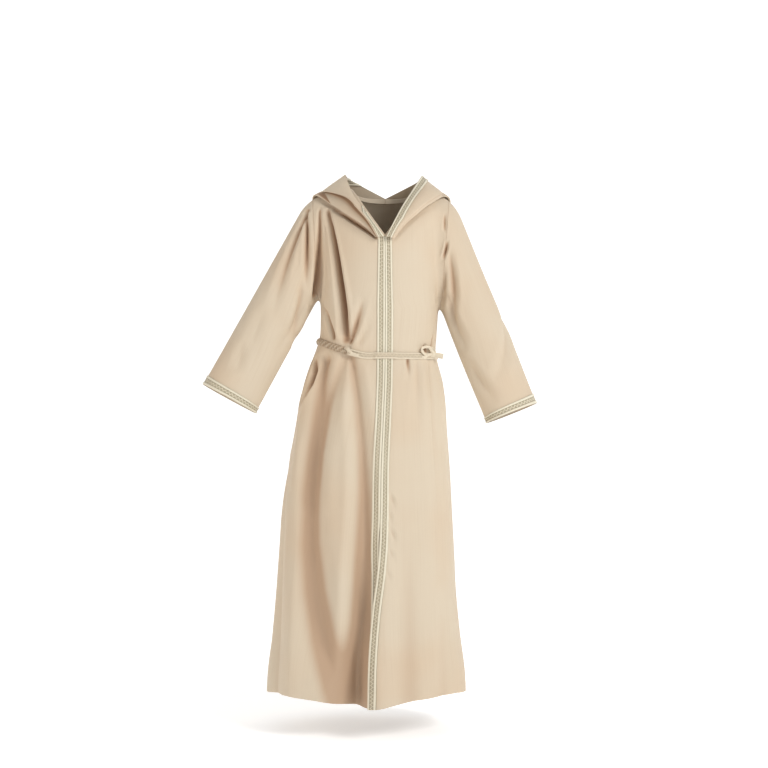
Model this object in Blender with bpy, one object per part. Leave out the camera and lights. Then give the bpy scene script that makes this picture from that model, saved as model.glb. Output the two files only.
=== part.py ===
"""Hooded djellaba robe, a small size, in the shape of a worn garment. Metres, +Z up, the front faces -Y.

The origin is in the middle of the shoulder line. Right and left are the sides of the robe itself. One smooth
form stands for the cloth of body and sleeves: sections of the torso and skirt, a sloping roof for the
shoulders and a tapered tube for each sleeve, all run together with soft fillets. Every panel is a grid of
points on that form, moved in or out by the same folds, so neighbouring panels keep an even gap at their seam.
Trim, cuffs and belt are made from the points of the panel that they lie on, moved out.
"""

import math

import bpy
import numpy as np
from mathutils import Vector
from mathutils.bvhtree import BVHTree

# Cloth, trim and clearances
CLOTH = 0.0015
SEAM_GAP = 0.0003
TRIM_GAP = 0.0003
TRIM_THICK = 0.0010
TRIM_WIDTH = 0.015
BELT_THICK = 0.0020
BELT_WIDTH = 0.015
BELT_GAP = 0.0004

# Garment heights and centre line
HEM_Z = -0.943
V_NECK_Z = -0.079
CENTRE_X = 0.0057

# Torso and skirt: x of the right and left sides and y of front and back at each height
SECTION_COLUMNS = ("z", "right", "left", "front", "back")
SECTIONS = (
    (-0.950, -0.2190, 0.1600, -0.151, 0.150),
    (-0.895, -0.2165, 0.1575, -0.148, 0.147),
    (-0.820, -0.2070, 0.1480, -0.141, 0.140),
    (-0.740, -0.1995, 0.1405, -0.134, 0.133),
    (-0.665, -0.1940, 0.1370, -0.128, 0.127),
    (-0.590, -0.1890, 0.1330, -0.121, 0.120),
    (-0.513, -0.1786, 0.1290, -0.114, 0.112),
    (-0.437, -0.1650, 0.1235, -0.106, 0.103),
    (-0.380, -0.1550, 0.1200, -0.099, 0.095),
    (-0.342, -0.1455, 0.1145, -0.093, 0.089),
    (-0.315, -0.1365, 0.1070, -0.088, 0.083),
    (-0.290, -0.1265, 0.1020, -0.083, 0.078),
    (-0.262, -0.1180, 0.1035, -0.086, 0.081),
    (-0.230, -0.1160, 0.1055, -0.092, 0.085),
    (-0.190, -0.1165, 0.1070, -0.097, 0.088),
    (-0.130, -0.1190, 0.1110, -0.098, 0.090),
    (-0.060, -0.1200, 0.1130, -0.095, 0.090),
    (0.030, -0.1200, 0.1130, -0.090, 0.088),
)
SQUARENESS = 2.15

# Shoulder roof: its ridge slopes down from the neck, and falls away to front and back
RIDGE_Z = 0.030
RIDGE_SLOPE = 0.215
RIDGE_ROUND = 0.030
ROOF_FALL = 0.080
ROOF_REACH = 0.095
ROOF_BLEND = 0.026
ROOF_STEEP = 0.85

# Sleeves: axis from inside the shoulder to the middle of the cuff, and the tube's half sizes along it
SLEEVES = {
    "right": {"sign": -1.0, "top": (-0.111, 0.002, -0.056), "cuff": (-0.287, -0.030, -0.378)},
    "left": {"sign": 1.0, "top": (0.1055, 0.002, -0.056), "cuff": (0.2440, -0.030, -0.405)},
}
SLEEVE_COLUMNS = ("along", "right_width", "left_width", "depth")
SLEEVE_SIZES = (
    (0.00, 0.0540, 0.0495, 0.049),
    (0.30, 0.0545, 0.0495, 0.047),
    (0.60, 0.0550, 0.0515, 0.044),
    (1.00, 0.0560, 0.0500, 0.041),
)
SLEEVE_CAP = 0.070
ARMPIT_ROUND = 0.011

# Armhole planes: the seam's top and bottom as seen from the front
ARMHOLE_Y = -0.0045
ARMHOLE_DEPTH = 0.196
ARMHOLE_REACH = 0.140
ARMHOLE_TURNS = (-90, -81, -70, -56, -40, -22, -2, 20, 42, 66, 90)
ARMHOLES = {
    "right": {"top_x": -0.131, "low_x": -0.1195, "mid_z": -0.100},
    "left": {"top_x": 0.127, "low_x": 0.1103, "mid_z": -0.100},
}

# Neckline: where it crosses the shoulder seams and the middle of the back
NECK_HALF_WIDTH = 0.066
NECK_SHOULDER_Z = 0.012
NECK_BACK_Y = 0.055
NECK_MIDDLE = (CENTRE_X, -0.010, 0.0)

# Front opening: x of the upper front's edge, and how far it laps over the lower one
OPENING_COLUMNS = ("z", "edge", "overlap")
OPENING = (
    (-0.945, -0.0255, 0.0190),
    (-0.855, -0.0240, 0.0180),
    (-0.760, -0.0165, 0.0130),
    (-0.700, -0.0090, 0.0060),
    (-0.640, -0.0045, 0.0000),
    (-0.500, -0.0015, 0.0000),
    (-0.400, 0.0030, 0.0000),
    (-0.345, 0.0052, 0.0000),
    (-0.303, 0.0057, 0.0000),
    (0.010, 0.0057, 0.0000),
)
LAP_COLUMNS = ("z", "rise", "sink")
LAP = (
    (-0.945, 0.0035, 0.0080),
    (-0.855, 0.0035, 0.0070),
    (-0.760, 0.0034, 0.0050),
    (-0.700, 0.0032, 0.0026),
    (-0.655, 0.0030, 0.0014),
    (-0.600, 0.0000, 0.0000),
    (-0.303, 0.0000, 0.0000),
    (0.010, 0.0000, 0.0000),
)
LAP_FLAT = 0.024
LAP_REACH = 0.070

# Belt: its height at the front, and how it climbs towards the right side
BELT_Z = -0.296
BELT_CLIMB = 0.028
BELT_CLIMB_START = 0.028
BELT_CLIMB_SPAN = 0.090
BELT_CLIMB_BEND = 1.3
BELT_PULL = 0.070
BELT_PINCH = 0.50
BELT_CALM = 0.019
BELT_HALF_SPAN = 0.15
UNDERARM_CALM = 0.024

# Folds seen from the front or back: a bowed path over the cloth, its width and its height at three places
FOLD_COLUMNS = ("face", "x0", "z0", "x1", "z1", "bow", "width0", "width1", "start", "middle", "end")
FOLDS = (
    # Bodice, right side: creases that run to the gathered cloth at the belt
    (-1, -0.099, -0.045, -0.071, -0.272, 0.006, 0.015, 0.013, -0.001, -0.008, -0.006),
    (-1, -0.033, -0.205, -0.058, -0.274, 0.002, 0.013, 0.011, 0.000, -0.004, -0.004),
    (-1, -0.110, -0.195, -0.086, -0.262, 0.002, 0.012, 0.011, 0.000, -0.004, -0.004),
    (-1, -0.066, -0.215, -0.067, -0.270, 0.000, 0.010, 0.008, 0.000, 0.002, 0.002),
    # Creases along the armholes
    (-1, -0.127, -0.030, -0.123, -0.190, 0.001, 0.012, 0.013, -0.002, -0.009, -0.006),
    (-1, 0.121, -0.028, 0.115, -0.190, 0.003, 0.007, 0.009, -0.001, -0.005, -0.003),
    # Skirt, right side: from the gather down, then the two long troughs to the hem
    (-1, -0.070, -0.308, -0.077, -0.470, 0.002, 0.007, 0.016, -0.007, -0.008, 0.000),
    (-1, -0.054, -0.308, -0.050, -0.450, -0.002, 0.008, 0.016, -0.005, -0.006, 0.000),
    (-1, -0.062, -0.306, -0.064, -0.430, 0.000, 0.006, 0.012, 0.002, 0.003, 0.000),
    (-1, -0.138, -0.400, -0.064, -0.985, -0.012, 0.016, 0.028, 0.000, -0.014, -0.013),
    (-1, -0.030, -0.430, -0.058, -0.985, 0.014, 0.014, 0.024, 0.000, -0.010, -0.010),
    (-1, -0.164, -0.430, -0.172, -0.985, 0.004, 0.012, 0.020, 0.000, -0.005, -0.006),
    (-1, -0.110, -0.318, -0.130, -0.420, -0.004, 0.007, 0.010, -0.003, -0.007, 0.000),
    (-1, -0.128, -0.560, -0.150, -0.985, 0.004, 0.016, 0.022, 0.000, 0.004, 0.006),
    # Skirt, left side: nearly smooth, with a few soft troughs
    (-1, 0.065, -0.308, 0.066, -0.440, 0.001, 0.007, 0.012, -0.002, -0.004, 0.000),
    (-1, 0.090, -0.306, 0.108, -0.700, 0.003, 0.009, 0.018, -0.003, -0.005, 0.000),
    (-1, 0.036, -0.420, 0.052, -0.985, 0.004, 0.024, 0.034, 0.000, -0.005, -0.007),
    (-1, 0.100, -0.620, 0.118, -0.985, 0.003, 0.018, 0.026, 0.000, -0.004, -0.006),
    # Back: gathers over and under the belt, then long folds to the hem
    (1, -0.070, -0.120, -0.058, -0.272, 0.004, 0.012, 0.009, 0.000, -0.005, -0.008),
    (1, 0.058, -0.110, 0.048, -0.276, -0.003, 0.012, 0.009, 0.000, -0.005, -0.008),
    (1, -0.006, -0.190, -0.004, -0.278, 0.000, 0.010, 0.008, 0.000, -0.003, -0.005),
    (1, -0.062, -0.306, -0.090, -0.985, -0.008, 0.009, 0.026, -0.006, -0.011, -0.014),
    (1, -0.006, -0.308, -0.018, -0.985, 0.006, 0.008, 0.024, -0.005, -0.009, -0.012),
    (1, 0.046, -0.308, 0.058, -0.985, 0.006, 0.009, 0.026, -0.006, -0.011, -0.013),
    (1, -0.105, -0.330, -0.158, -0.985, -0.004, 0.010, 0.022, -0.003, -0.007, -0.009),
    (1, 0.086, -0.330, 0.118, -0.985, 0.004, 0.010, 0.020, -0.003, -0.007, -0.009),
    # Right sleeve, front then back
    (-1, -0.136, -0.030, -0.200, -0.215, -0.008, 0.008, 0.012, -0.003, -0.008, 0.000),
    (-1, -0.150, -0.080, -0.163, -0.225, 0.006, 0.008, 0.011, -0.001, -0.006, 0.000),
    (-1, -0.142, -0.195, -0.205, -0.300, 0.005, 0.008, 0.012, -0.002, -0.005, 0.000),
    (-1, -0.262, -0.270, -0.270, -0.330, 0.000, 0.010, 0.010, 0.000, -0.003, 0.000),
    (1, -0.140, -0.060, -0.205, -0.240, 0.006, 0.010, 0.012, 0.000, -0.006, 0.000),
    (1, -0.145, -0.180, -0.190, -0.280, 0.004, 0.009, 0.011, -0.003, -0.005, 0.000),
    # Left sleeve, front then back
    (-1, 0.124, -0.190, 0.160, -0.290, -0.004, 0.008, 0.012, -0.004, -0.007, 0.000),
    (-1, 0.143, -0.095, 0.142, -0.215, 0.004, 0.008, 0.010, 0.000, -0.004, -0.002),
    (-1, 0.222, -0.205, 0.208, -0.345, 0.018, 0.009, 0.010, 0.000, -0.005, 0.000),
    (-1, 0.160, -0.300, 0.215, -0.385, -0.006, 0.009, 0.012, 0.000, -0.005, 0.000),
    (1, 0.135, -0.070, 0.182, -0.260, 0.006, 0.010, 0.012, 0.000, -0.006, 0.000),
    (1, 0.128, -0.185, 0.165, -0.290, 0.004, 0.009, 0.011, -0.003, -0.005, 0.000),
)
FOLD_POINTS = 7
CAST_REACH = 0.260
CAST_STEPS = 120
NORMAL_STEP = 0.0008
LINE_STEPS = 90

# Hood: guide lines from the V of the neck round to the middle of the back, x out from the centre line.
# roll is the fold at the outside, tuck and lip are the valley and the edge of the pleat that lies over it,
# and wall is the upper layer. Below the roll the cloth lies on the shoulder.
HOOD_COLUMNS = ("station", "x", "y", "z")
HOOD = {
    "right": {
        "roll": (
            (0.00, 0.0165, -0.1020, -0.0800),
            (0.15, 0.0420, -0.1000, -0.0605),
            (0.30, 0.0710, -0.0830, -0.0390),
            (0.45, 0.1000, -0.0540, -0.0165),
            (0.60, 0.1290, -0.0080, 0.0040),
            (0.80, 0.1120, 0.0900, -0.0750),
            (1.00, 0.0000, 0.1280, -0.2000),
        ),
        "tuck": (
            (0.00, 0.0155, -0.1035, -0.0795),
            (0.15, 0.0325, -0.1010, -0.0615),
            (0.30, 0.0520, -0.0890, -0.0365),
            (0.45, 0.0745, -0.0620, -0.0075),
            (0.60, 0.1170, -0.0090, 0.0125),
            (0.80, 0.1110, 0.0960, -0.0550),
            (1.00, 0.0000, 0.1430, -0.1720),
        ),
        "lip": (
            (0.00, 0.0145, -0.1050, -0.0787),
            (0.15, 0.0310, -0.1055, -0.0600),
            (0.30, 0.0500, -0.0960, -0.0345),
            (0.45, 0.0720, -0.0690, -0.0040),
            (0.60, 0.1160, -0.0120, 0.0185),
            (0.80, 0.1080, 0.0980, -0.0400),
            (1.00, 0.0000, 0.1520, -0.1500),
        ),
        "wall": (
            (0.00, 0.0100, -0.1055, -0.0772),
            (0.15, 0.0295, -0.1035, -0.0540),
            (0.30, 0.0460, -0.0910, -0.0270),
            (0.45, 0.0660, -0.0640, 0.0050),
            (0.60, 0.0980, -0.0100, 0.0290),
            (0.80, 0.1000, 0.1000, -0.0100),
            (1.00, 0.0000, 0.1630, -0.0900),
        ),
        "rim": (
            (0.00, 0.0032, -0.1035, -0.0752),
            (0.15, 0.0240, -0.0970, -0.0495),
            (0.30, 0.0400, -0.0840, -0.0250),
            (0.45, 0.0600, -0.0550, 0.0060),
            (0.60, 0.0745, -0.0120, 0.0450),
            (0.80, 0.0640, 0.0700, 0.0430),
            (1.00, 0.0000, 0.1200, 0.0140),
        ),
    },
    "left": {
        "roll": (
            (0.00, 0.0165, -0.1020, -0.0800),
            (0.15, 0.0330, -0.1010, -0.0600),
            (0.30, 0.0580, -0.0870, -0.0370),
            (0.45, 0.0850, -0.0600, -0.0140),
            (0.60, 0.1150, -0.0060, 0.0020),
            (0.80, 0.1040, 0.0900, -0.0800),
            (1.00, 0.0000, 0.1280, -0.2000),
        ),
        "tuck": (
            (0.00, 0.0155, -0.1035, -0.0795),
            (0.15, 0.0325, -0.1030, -0.0585),
            (0.30, 0.0570, -0.0910, -0.0335),
            (0.45, 0.0830, -0.0630, -0.0095),
            (0.60, 0.1120, -0.0070, 0.0080),
            (0.80, 0.1050, 0.0950, -0.0580),
            (1.00, 0.0000, 0.1430, -0.1720),
        ),
        "lip": (
            (0.00, 0.0145, -0.1050, -0.0787),
            (0.15, 0.0305, -0.1045, -0.0555),
            (0.30, 0.0535, -0.0930, -0.0300),
            (0.45, 0.0790, -0.0640, -0.0050),
            (0.60, 0.1070, -0.0080, 0.0145),
            (0.80, 0.1040, 0.0980, -0.0400),
            (1.00, 0.0000, 0.1520, -0.1500),
        ),
        "wall": (
            (0.00, 0.0100, -0.1055, -0.0772),
            (0.15, 0.0265, -0.1030, -0.0515),
            (0.30, 0.0460, -0.0900, -0.0240),
            (0.45, 0.0690, -0.0620, 0.0040),
            (0.60, 0.0940, -0.0100, 0.0245),
            (0.80, 0.0980, 0.1000, -0.0100),
            (1.00, 0.0000, 0.1630, -0.0900),
        ),
        "rim": (
            (0.00, 0.0032, -0.1035, -0.0752),
            (0.15, 0.0175, -0.0980, -0.0490),
            (0.30, 0.0320, -0.0830, -0.0210),
            (0.45, 0.0500, -0.0560, 0.0100),
            (0.60, 0.0700, -0.0120, 0.0460),
            (0.80, 0.0620, 0.0700, 0.0430),
            (1.00, 0.0000, 0.1200, 0.0140),
        ),
    },
}
HOOD_START = 0.004
HOOD_CLEAR = ((-0.080, 0.0026), (-0.020, 0.0046))
HOOD_STAND = 0.0034
HOOD_UNDER = 0.5
HOOD_KNOTS = (0.0, 1.0, 1.25, 1.5, 1.75, 2.0, 2.5, 3.0, 3.4, 4.0, 5.0)
HOOD_UPPER = (1 / 3, 2 / 3)
HOOD_BRAID_SHARE = 0.8
HOOD_FREE = 2
HOOD_TOP = 12

# Grid sizes: columns of one front, of neckline and shoulder seam, and rows over the armhole
FRONT_COLUMNS = 12
NECK_COLUMNS = 8
BACK_NECK_COLUMNS = 7
BACK_COLUMNS = 2 * (FRONT_COLUMNS - NECK_COLUMNS + BACK_NECK_COLUMNS)
NECK_SPREAD = 1.4
ARMHOLE_ROWS = len(ARMHOLE_TURNS) - 1
ROW_HEIGHTS = (
    HEM_Z, -0.895, -0.845, -0.795, -0.745, -0.695, -0.645, -0.595, -0.545, -0.495, -0.450, -0.410,
    -0.375, -0.345, -0.320, BELT_Z - BELT_WIDTH / 2, BELT_Z, BELT_Z + BELT_WIDTH / 2,
    -0.265, -0.243, -0.220,
)
BELT_ROWS = (15, 16, 17)
UNDERARM_ROW = len(ROW_HEIGHTS)
SLEEVE_SHARES = (0.0, 0.06, 0.14, 0.24, 0.35, 0.46, 0.58, 0.70, 0.82)

# Belt fastenings: place on the belt as seen from the front, half sizes, tilt, and the loose ends' run
KNOT_COLUMNS = ("x", "z", "half_long", "half_high", "half_deep", "tilt")
KNOTS = {
    "belt_gather": (-0.0640, -0.2860, 0.0080, 0.0072, 0.0038, -25),
    "belt_knot": (0.0855, -0.2890, 0.0125, 0.0085, 0.0045, -24),
}
KNOT_GROOVE = 0.0007
KNOT_TURNS = 4
KNOT_BLUNT = 0.8
KNOT_RINGS = 9
KNOT_SIDES = 16
END_COLUMNS = ("x", "z", "run_along", "run_up", "run_out", "half_width")
ENDS = {
    "belt_end_right": (-0.0510, -0.2910, 0.0140, -0.0035, 0.0020, 0.0034),
    "belt_end_left": (0.0995, -0.2930, 0.0130, -0.0070, 0.0150, 0.0055),
}
END_GAP = 0.0005
BELT_PROBE = 0.030
END_STEPS = 5

SHARP_ANGLE = 50

MATERIALS = {
    "cloth": {"color": (0.66, 0.50, 0.36, 1.0), "roughness": 0.80, "metallic": 0.0},
    "trim": {"color": (0.80, 0.73, 0.52, 1.0), "roughness": 0.50, "metallic": 0.0},
}


def table(columns, rows):
    """A short table as one array for each named column."""
    return dict(zip(columns, np.array(rows, float).T))


SECTION = table(SECTION_COLUMNS, SECTIONS)
SLEEVE_SIZE = table(SLEEVE_COLUMNS, SLEEVE_SIZES)
EDGE = table(OPENING_COLUMNS, OPENING)
LAPS = table(LAP_COLUMNS, LAP)
HOOD_GUIDE = {
    side: {name: table(HOOD_COLUMNS, rows) for name, rows in lines.items()} for side, lines in HOOD.items()
}


def ease(at, xs, ys):
    """A smooth curve through the points xs, ys, with xs rising and flat past both ends."""
    slope = np.gradient(ys, xs)
    at = np.clip(at, xs[0], xs[-1])
    i = np.clip(np.searchsorted(xs, at) - 1, 0, len(xs) - 2)
    step = xs[i + 1] - xs[i]
    t = (at - xs[i]) / step
    return (
        (2 * t**3 - 3 * t**2 + 1) * ys[i]
        + (t**3 - 2 * t**2 + t) * step * slope[i]
        + (3 * t**2 - 2 * t**3) * ys[i + 1]
        + (t**3 - t**2) * step * slope[i + 1]
    )


def unit(v):
    """Vectors along the last axis made one long."""
    return v / np.maximum(np.linalg.norm(v, axis=-1, keepdims=True), 1e-12)


def smooth_min(a, b, reach):
    """The smaller of two fields, rounded where they are within reach of each other."""
    h = np.clip(0.5 + 0.5 * (b - a) / reach, 0, 1)
    return b * (1 - h) + a * h - reach * h * (1 - h)


def section_at(z):
    """x of the right and left sides, and y of front and back, of the torso at height z."""
    return [ease(z, SECTION["z"], SECTION[k]) for k in SECTION_COLUMNS[1:]]


def torso_field(p):
    """Below zero inside the torso and skirt: the sections, closed at the top by the shoulder roof."""
    x, y, z = p[..., 0], p[..., 1], p[..., 2]
    right, left, front, back = section_at(z)
    across = np.abs(x - (left + right) / 2) / ((left - right) / 2)
    deep = np.abs(y - (back + front) / 2) / ((back - front) / 2)
    wall = ((across**SQUARENESS + deep**SQUARENESS + 1e-9) ** (1 / SQUARENESS) - 1) * (back - front) / 2
    ridge = RIDGE_Z - RIDGE_SLOPE * np.sqrt((x - CENTRE_X / 2) ** 2 + RIDGE_ROUND**2)
    roof = (z - ridge + ROOF_FALL * (y / ROOF_REACH) ** 2) * ROOF_STEEP
    return -smooth_min(-wall, -roof, ROOF_BLEND)


def sleeve_frame(side):
    """Start, direction, length, and the across, depth and outward axes of a sleeve."""
    top, cuff = (np.array(SLEEVES[side][k]) for k in ("top", "cuff"))
    long = np.linalg.norm(cuff - top)
    along = (cuff - top) / long
    up = unit(np.cross(along, (0.0, 1.0, 0.0))) * SLEEVES[side]["sign"]
    deep = unit(np.cross(up, along))
    if deep[1] < 0:
        deep = -deep
    return top, along, long, up, deep


def sleeve_field(p, side):
    """Below zero inside a sleeve: an oval tube round its axis with a rounded top end."""
    top, along, long, up, deep = sleeve_frame(side)
    q = p - top
    l = q @ along
    wide = ease(l / long, SLEEVE_SIZE["along"], SLEEVE_SIZE[f"{side}_width"])
    thick = ease(l / long, SLEEVE_SIZE["along"], SLEEVE_SIZE["depth"])
    cap = np.minimum(l, 0) / SLEEVE_CAP
    return (np.sqrt((q @ up / wide) ** 2 + (q @ deep / thick) ** 2 + cap**2 + 1e-9) - 1) * thick


def form(p):
    """Below zero inside the whole garment's form, without folds."""
    inside = torso_field(p)
    for side in SLEEVES:
        inside = smooth_min(inside, sleeve_field(p, side), ARMPIT_ROUND)
    return inside


def slope_of(p, step=2e-4):
    """The form's slope at each point, by differences."""
    moves = step * np.eye(3)
    return np.stack([(form(p + m) - form(p - m)) / (2 * step) for m in moves], axis=-1)


def settle(p, rounds=6):
    """Points moved along the slope onto the form's surface, and the unit normals there."""
    for _ in range(rounds):
        slope = slope_of(p)
        p = p - (form(p) / np.maximum((slope**2).sum(-1), 1e-9))[..., None] * slope
    return p, unit(slope_of(p))


def first_out(start, way, reach, steps=CAST_STEPS):
    """Where rays from inside the form first leave it: the points start + way * r."""
    r = np.linspace(0, reach, steps)
    out = form(start[..., None, :] + way[..., None, :] * r[:, None]) > 0
    far = r[np.maximum(out.argmax(-1), 1)]
    near = far - reach / (steps - 1)
    for _ in range(24):
        mid = (near + far) / 2
        outside = form(start + way * mid[..., None]) > 0
        near, far = np.where(outside, near, mid), np.where(outside, mid, far)
    return start + way * far[..., None]


def cast(x, z, face):
    """Points of the form seen at x, z from the front (face -1) or the back (face 1)."""
    x, z = np.broadcast_arrays(np.asarray(x, float), np.asarray(z, float))
    y = np.linspace(face * CAST_REACH, -face * 0.02, CAST_STEPS)
    rays = np.stack(np.broadcast_arrays(x[..., None], y, z[..., None]), axis=-1)
    value = form(rays)
    inside = value < 0
    i = np.where(inside.any(-1), inside.argmax(-1), np.abs(value).argmin(-1))
    return settle(np.take_along_axis(rays, i[..., None, None].repeat(3, -1), -2)[..., 0, :])[0]


def belt_height(x):
    """How far the belt's line stands above its height at the front, for points at x."""
    return BELT_CLIMB * np.clip((-x - BELT_CLIMB_START) / BELT_CLIMB_SPAN, 0, 1) ** BELT_CLIMB_BEND


def fold_paths():
    """Each row of FOLDS with its path over the form and its sizes along the path."""
    t = np.linspace(0, 1, FOLD_POINTS)
    made = []
    for row in FOLDS:
        f = dict(zip(FOLD_COLUMNS, row))
        run = np.array((f["x1"] - f["x0"], f["z1"] - f["z0"]))
        side = np.array((-run[1], run[0])) / np.linalg.norm(run)
        x = f["x0"] + run[0] * t + side[0] * f["bow"] * 4 * t * (1 - t)
        z = f["z0"] + run[1] * t + side[1] * f["bow"] * 4 * t * (1 - t)
        made.append((cast(x, z, f["face"]), f))
    return made


PATHS = fold_paths()


def fold_height(p):
    """How far the folds move each point of the form out, or in where it is below zero."""
    total = np.zeros(p.shape[:-1])
    for path, f in PATHS:
        a, d = path[:-1], np.diff(path, axis=0)
        rel = p[..., None, :] - a
        t = np.clip((rel * d).sum(-1) / (d * d).sum(-1), 0, 1)
        off = np.linalg.norm(rel - t[..., None] * d, axis=-1)
        k = off.argmin(-1)
        best = np.take_along_axis(off, k[..., None], -1)[..., 0]
        share = (k + np.take_along_axis(t, k[..., None], -1)[..., 0]) / len(a)
        width = f["width0"] + (f["width1"] - f["width0"]) * share
        size = (
            f["start"] * (1 - share) * (1 - 2 * share)
            + f["middle"] * 4 * share * (1 - share)
            + f["end"] * share * (2 * share - 1)
        )
        total += size * np.exp(-((best / width) ** 2))
    for point in UNDERARMS:
        total *= 1 - np.exp(-(((p - point) ** 2).sum(-1) / UNDERARM_CALM**2))
    near = np.abs(p[..., 2] - BELT_Z - belt_height(p[..., 0])) / BELT_CALM
    calm = np.exp(-(near**4)) * (np.abs(p[..., 0]) < BELT_HALF_SPAN)
    return total * (1 - calm) + np.minimum(total, 0) * BELT_PINCH * calm


def lap_height(p, front):
    """How far the lapped edges of the two fronts stand out or in near the opening."""
    if front is None:
        return np.zeros(p.shape[:-1])
    x, z = p[..., 0], p[..., 2]
    away = np.clip((np.abs(x - ease(z, EDGE["z"], EDGE["edge"])) - LAP_FLAT) / (LAP_REACH - LAP_FLAT), 0, 1)
    fade = (1 - away**2 * (3 - 2 * away)) * (p[..., 1] < 0)
    if front == "left":
        return ease(z, LAPS["z"], LAPS["rise"]) * fade
    return -ease(z, LAPS["z"], LAPS["sink"]) * fade


def drape(guess, front=None):
    """Cloth points for a grid of guesses: the form's points, its normals, the folded points and theirs."""
    base, normal = settle(guess)

    def moved(p, n):
        return p + n * (fold_height(p) + lap_height(p, front))[..., None]

    level = np.where(np.abs(normal[..., 2:]) < 0.9, (0.0, 0.0, 1.0), (0.0, 1.0, 0.0))
    across = unit(np.cross(normal, level))
    up = np.cross(normal, across)
    spread = []
    for way in (across, up):
        ends = [moved(*settle(base + s * NORMAL_STEP * way, 2)) for s in (1, -1)]
        spread.append(ends[0] - ends[1])
    cloth_normal = unit(np.cross(spread[0], spread[1]))
    cloth_normal *= np.sign((cloth_normal * normal).sum(-1))[..., None]
    return base, normal, moved(base, normal), cloth_normal


def spaced(line, fixed, count, scale=1.0):
    """count + 1 points along a dense line: first at the fixed distances, then evenly to its end."""
    along = np.concatenate([[0], np.cumsum(np.linalg.norm(np.diff(line, axis=0), axis=1))])
    first = np.array(fixed) * scale
    rest = np.linspace(first[-1], along[-1], count - len(first) + 2)[1:]
    at = np.concatenate([first, rest])
    return np.stack([np.interp(at, along, line[:, k]) for k in range(3)], axis=1)


def ring_points(angles, z):
    """Points of the torso's sections at angles from the middle of the front, towards the left."""
    right, left, front, back = section_at(z)
    s, c = np.sin(angles), np.cos(angles)
    x = (left + right) / 2 + (left - right) / 2 * np.sign(s) * np.abs(s) ** (2 / SQUARENESS)
    y = (back + front) / 2 - (back - front) / 2 * np.sign(c) * np.abs(c) ** (2 / SQUARENESS)
    return np.stack(np.broadcast_arrays(x, y, z), axis=-1)


def row_line(angles, height):
    """A dense line round the form at a row's height, which follows the belt's climb near the waist."""
    pull = math.exp(-(((height - BELT_Z) / BELT_PULL) ** 2))
    z = np.full(len(angles), height)
    for _ in range(3):
        z = height + pull * belt_height(ring_points(angles, z)[:, 0])
    return settle(ring_points(angles, z))[0]


def armhole(side):
    """Points of the armhole seam from the underarm over the front to the shoulder and down the back."""
    a = ARMHOLES[side]
    turn = np.radians(ARMHOLE_TURNS)
    turn = np.concatenate([turn, math.pi - turn[::-1][1:]])
    lean = (a["top_x"] - a["low_x"]) / ARMHOLE_DEPTH
    start = np.array((a["low_x"] + lean * (a["mid_z"] + ARMHOLE_DEPTH), ARMHOLE_Y, a["mid_z"]))
    way = unit(np.stack([lean * np.sin(turn), -np.cos(turn), np.sin(turn)], axis=1))
    ring = first_out(np.broadcast_to(start, way.shape), way, ARMHOLE_REACH)
    return ring[: ARMHOLE_ROWS + 1], ring[ARMHOLE_ROWS:][::-1]


ARMHOLE = {side: armhole(side) for side in SLEEVES}
UNDERARMS = [ARMHOLE[side][0][0] for side in SLEEVES]


def edge_x(z, side):
    """x of a front's edge at height z."""
    upper = ease(z, EDGE["z"], EDGE["edge"])
    return upper if side == "left" else upper + np.maximum(ease(z, EDGE["z"], EDGE["overlap"]), 0)


def neck_front(side):
    """Neckline from the V to the shoulder seam, as NECK_COLUMNS + 1 points."""
    sign = SLEEVES[side]["sign"]
    t = np.linspace(0, 1, LINE_STEPS)
    line = cast(CENTRE_X + sign * NECK_HALF_WIDTH * t, V_NECK_Z + (NECK_SHOULDER_Z - V_NECK_Z) * t, -1)
    end = settle(np.array([[CENTRE_X + sign * NECK_HALF_WIDTH, 0.0, NECK_SHOULDER_Z]]))[0][0]
    y = line[:, 1] + (end[1] - line[-1, 1]) * t**4
    line = settle(np.stack([line[:, 0], y, line[:, 2]], axis=1))[0]
    return spaced(line, (0, TRIM_WIDTH / 2, TRIM_WIDTH), NECK_COLUMNS, NECK_SPREAD)


def neck_back(side):
    """Neckline from the shoulder seam to the middle of the back, as BACK_NECK_COLUMNS + 1 points."""
    sign = SLEEVES[side]["sign"]
    start = neck_front(side)[-1]
    t = np.radians(np.linspace(0, 90, BACK_NECK_COLUMNS + 1))
    x = CENTRE_X + (start[0] - CENTRE_X) * np.cos(t)
    y = start[1] + (NECK_BACK_Y - start[1]) * np.sin(t)
    line = settle(np.stack([x, y, np.zeros(len(t))], axis=1), 12)[0]
    line[0] = start
    return line


def shoulder(side):
    """Shoulder seam from the neckline to the armhole."""
    a, b = neck_front(side)[-1], ARMHOLE[side][0][-1]
    t = np.linspace(0, 1, FRONT_COLUMNS - NECK_COLUMNS + 1)[:, None]
    line = settle(a + (b - a) * t)[0]
    line[0], line[-1] = a, b
    return line


def coons(low, high, left, right):
    """A grid between four edge lines: rows from low to high, columns from left to right."""

    def share(line):
        along = np.concatenate([[0], np.cumsum(np.linalg.norm(np.diff(line, axis=0), axis=1))])
        return along / along[-1]

    s = ((share(low) + share(high)) / 2)[None, :, None]
    t = ((share(left) + share(right)) / 2)[:, None, None]
    corners = (1 - s) * (1 - t) * low[0] + s * (1 - t) * low[-1] + (1 - s) * t * high[0] + s * t * high[-1]
    return (1 - t) * low[None] + t * high[None] + (1 - s) * left[:, None] + s * right[:, None] - corners


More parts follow.
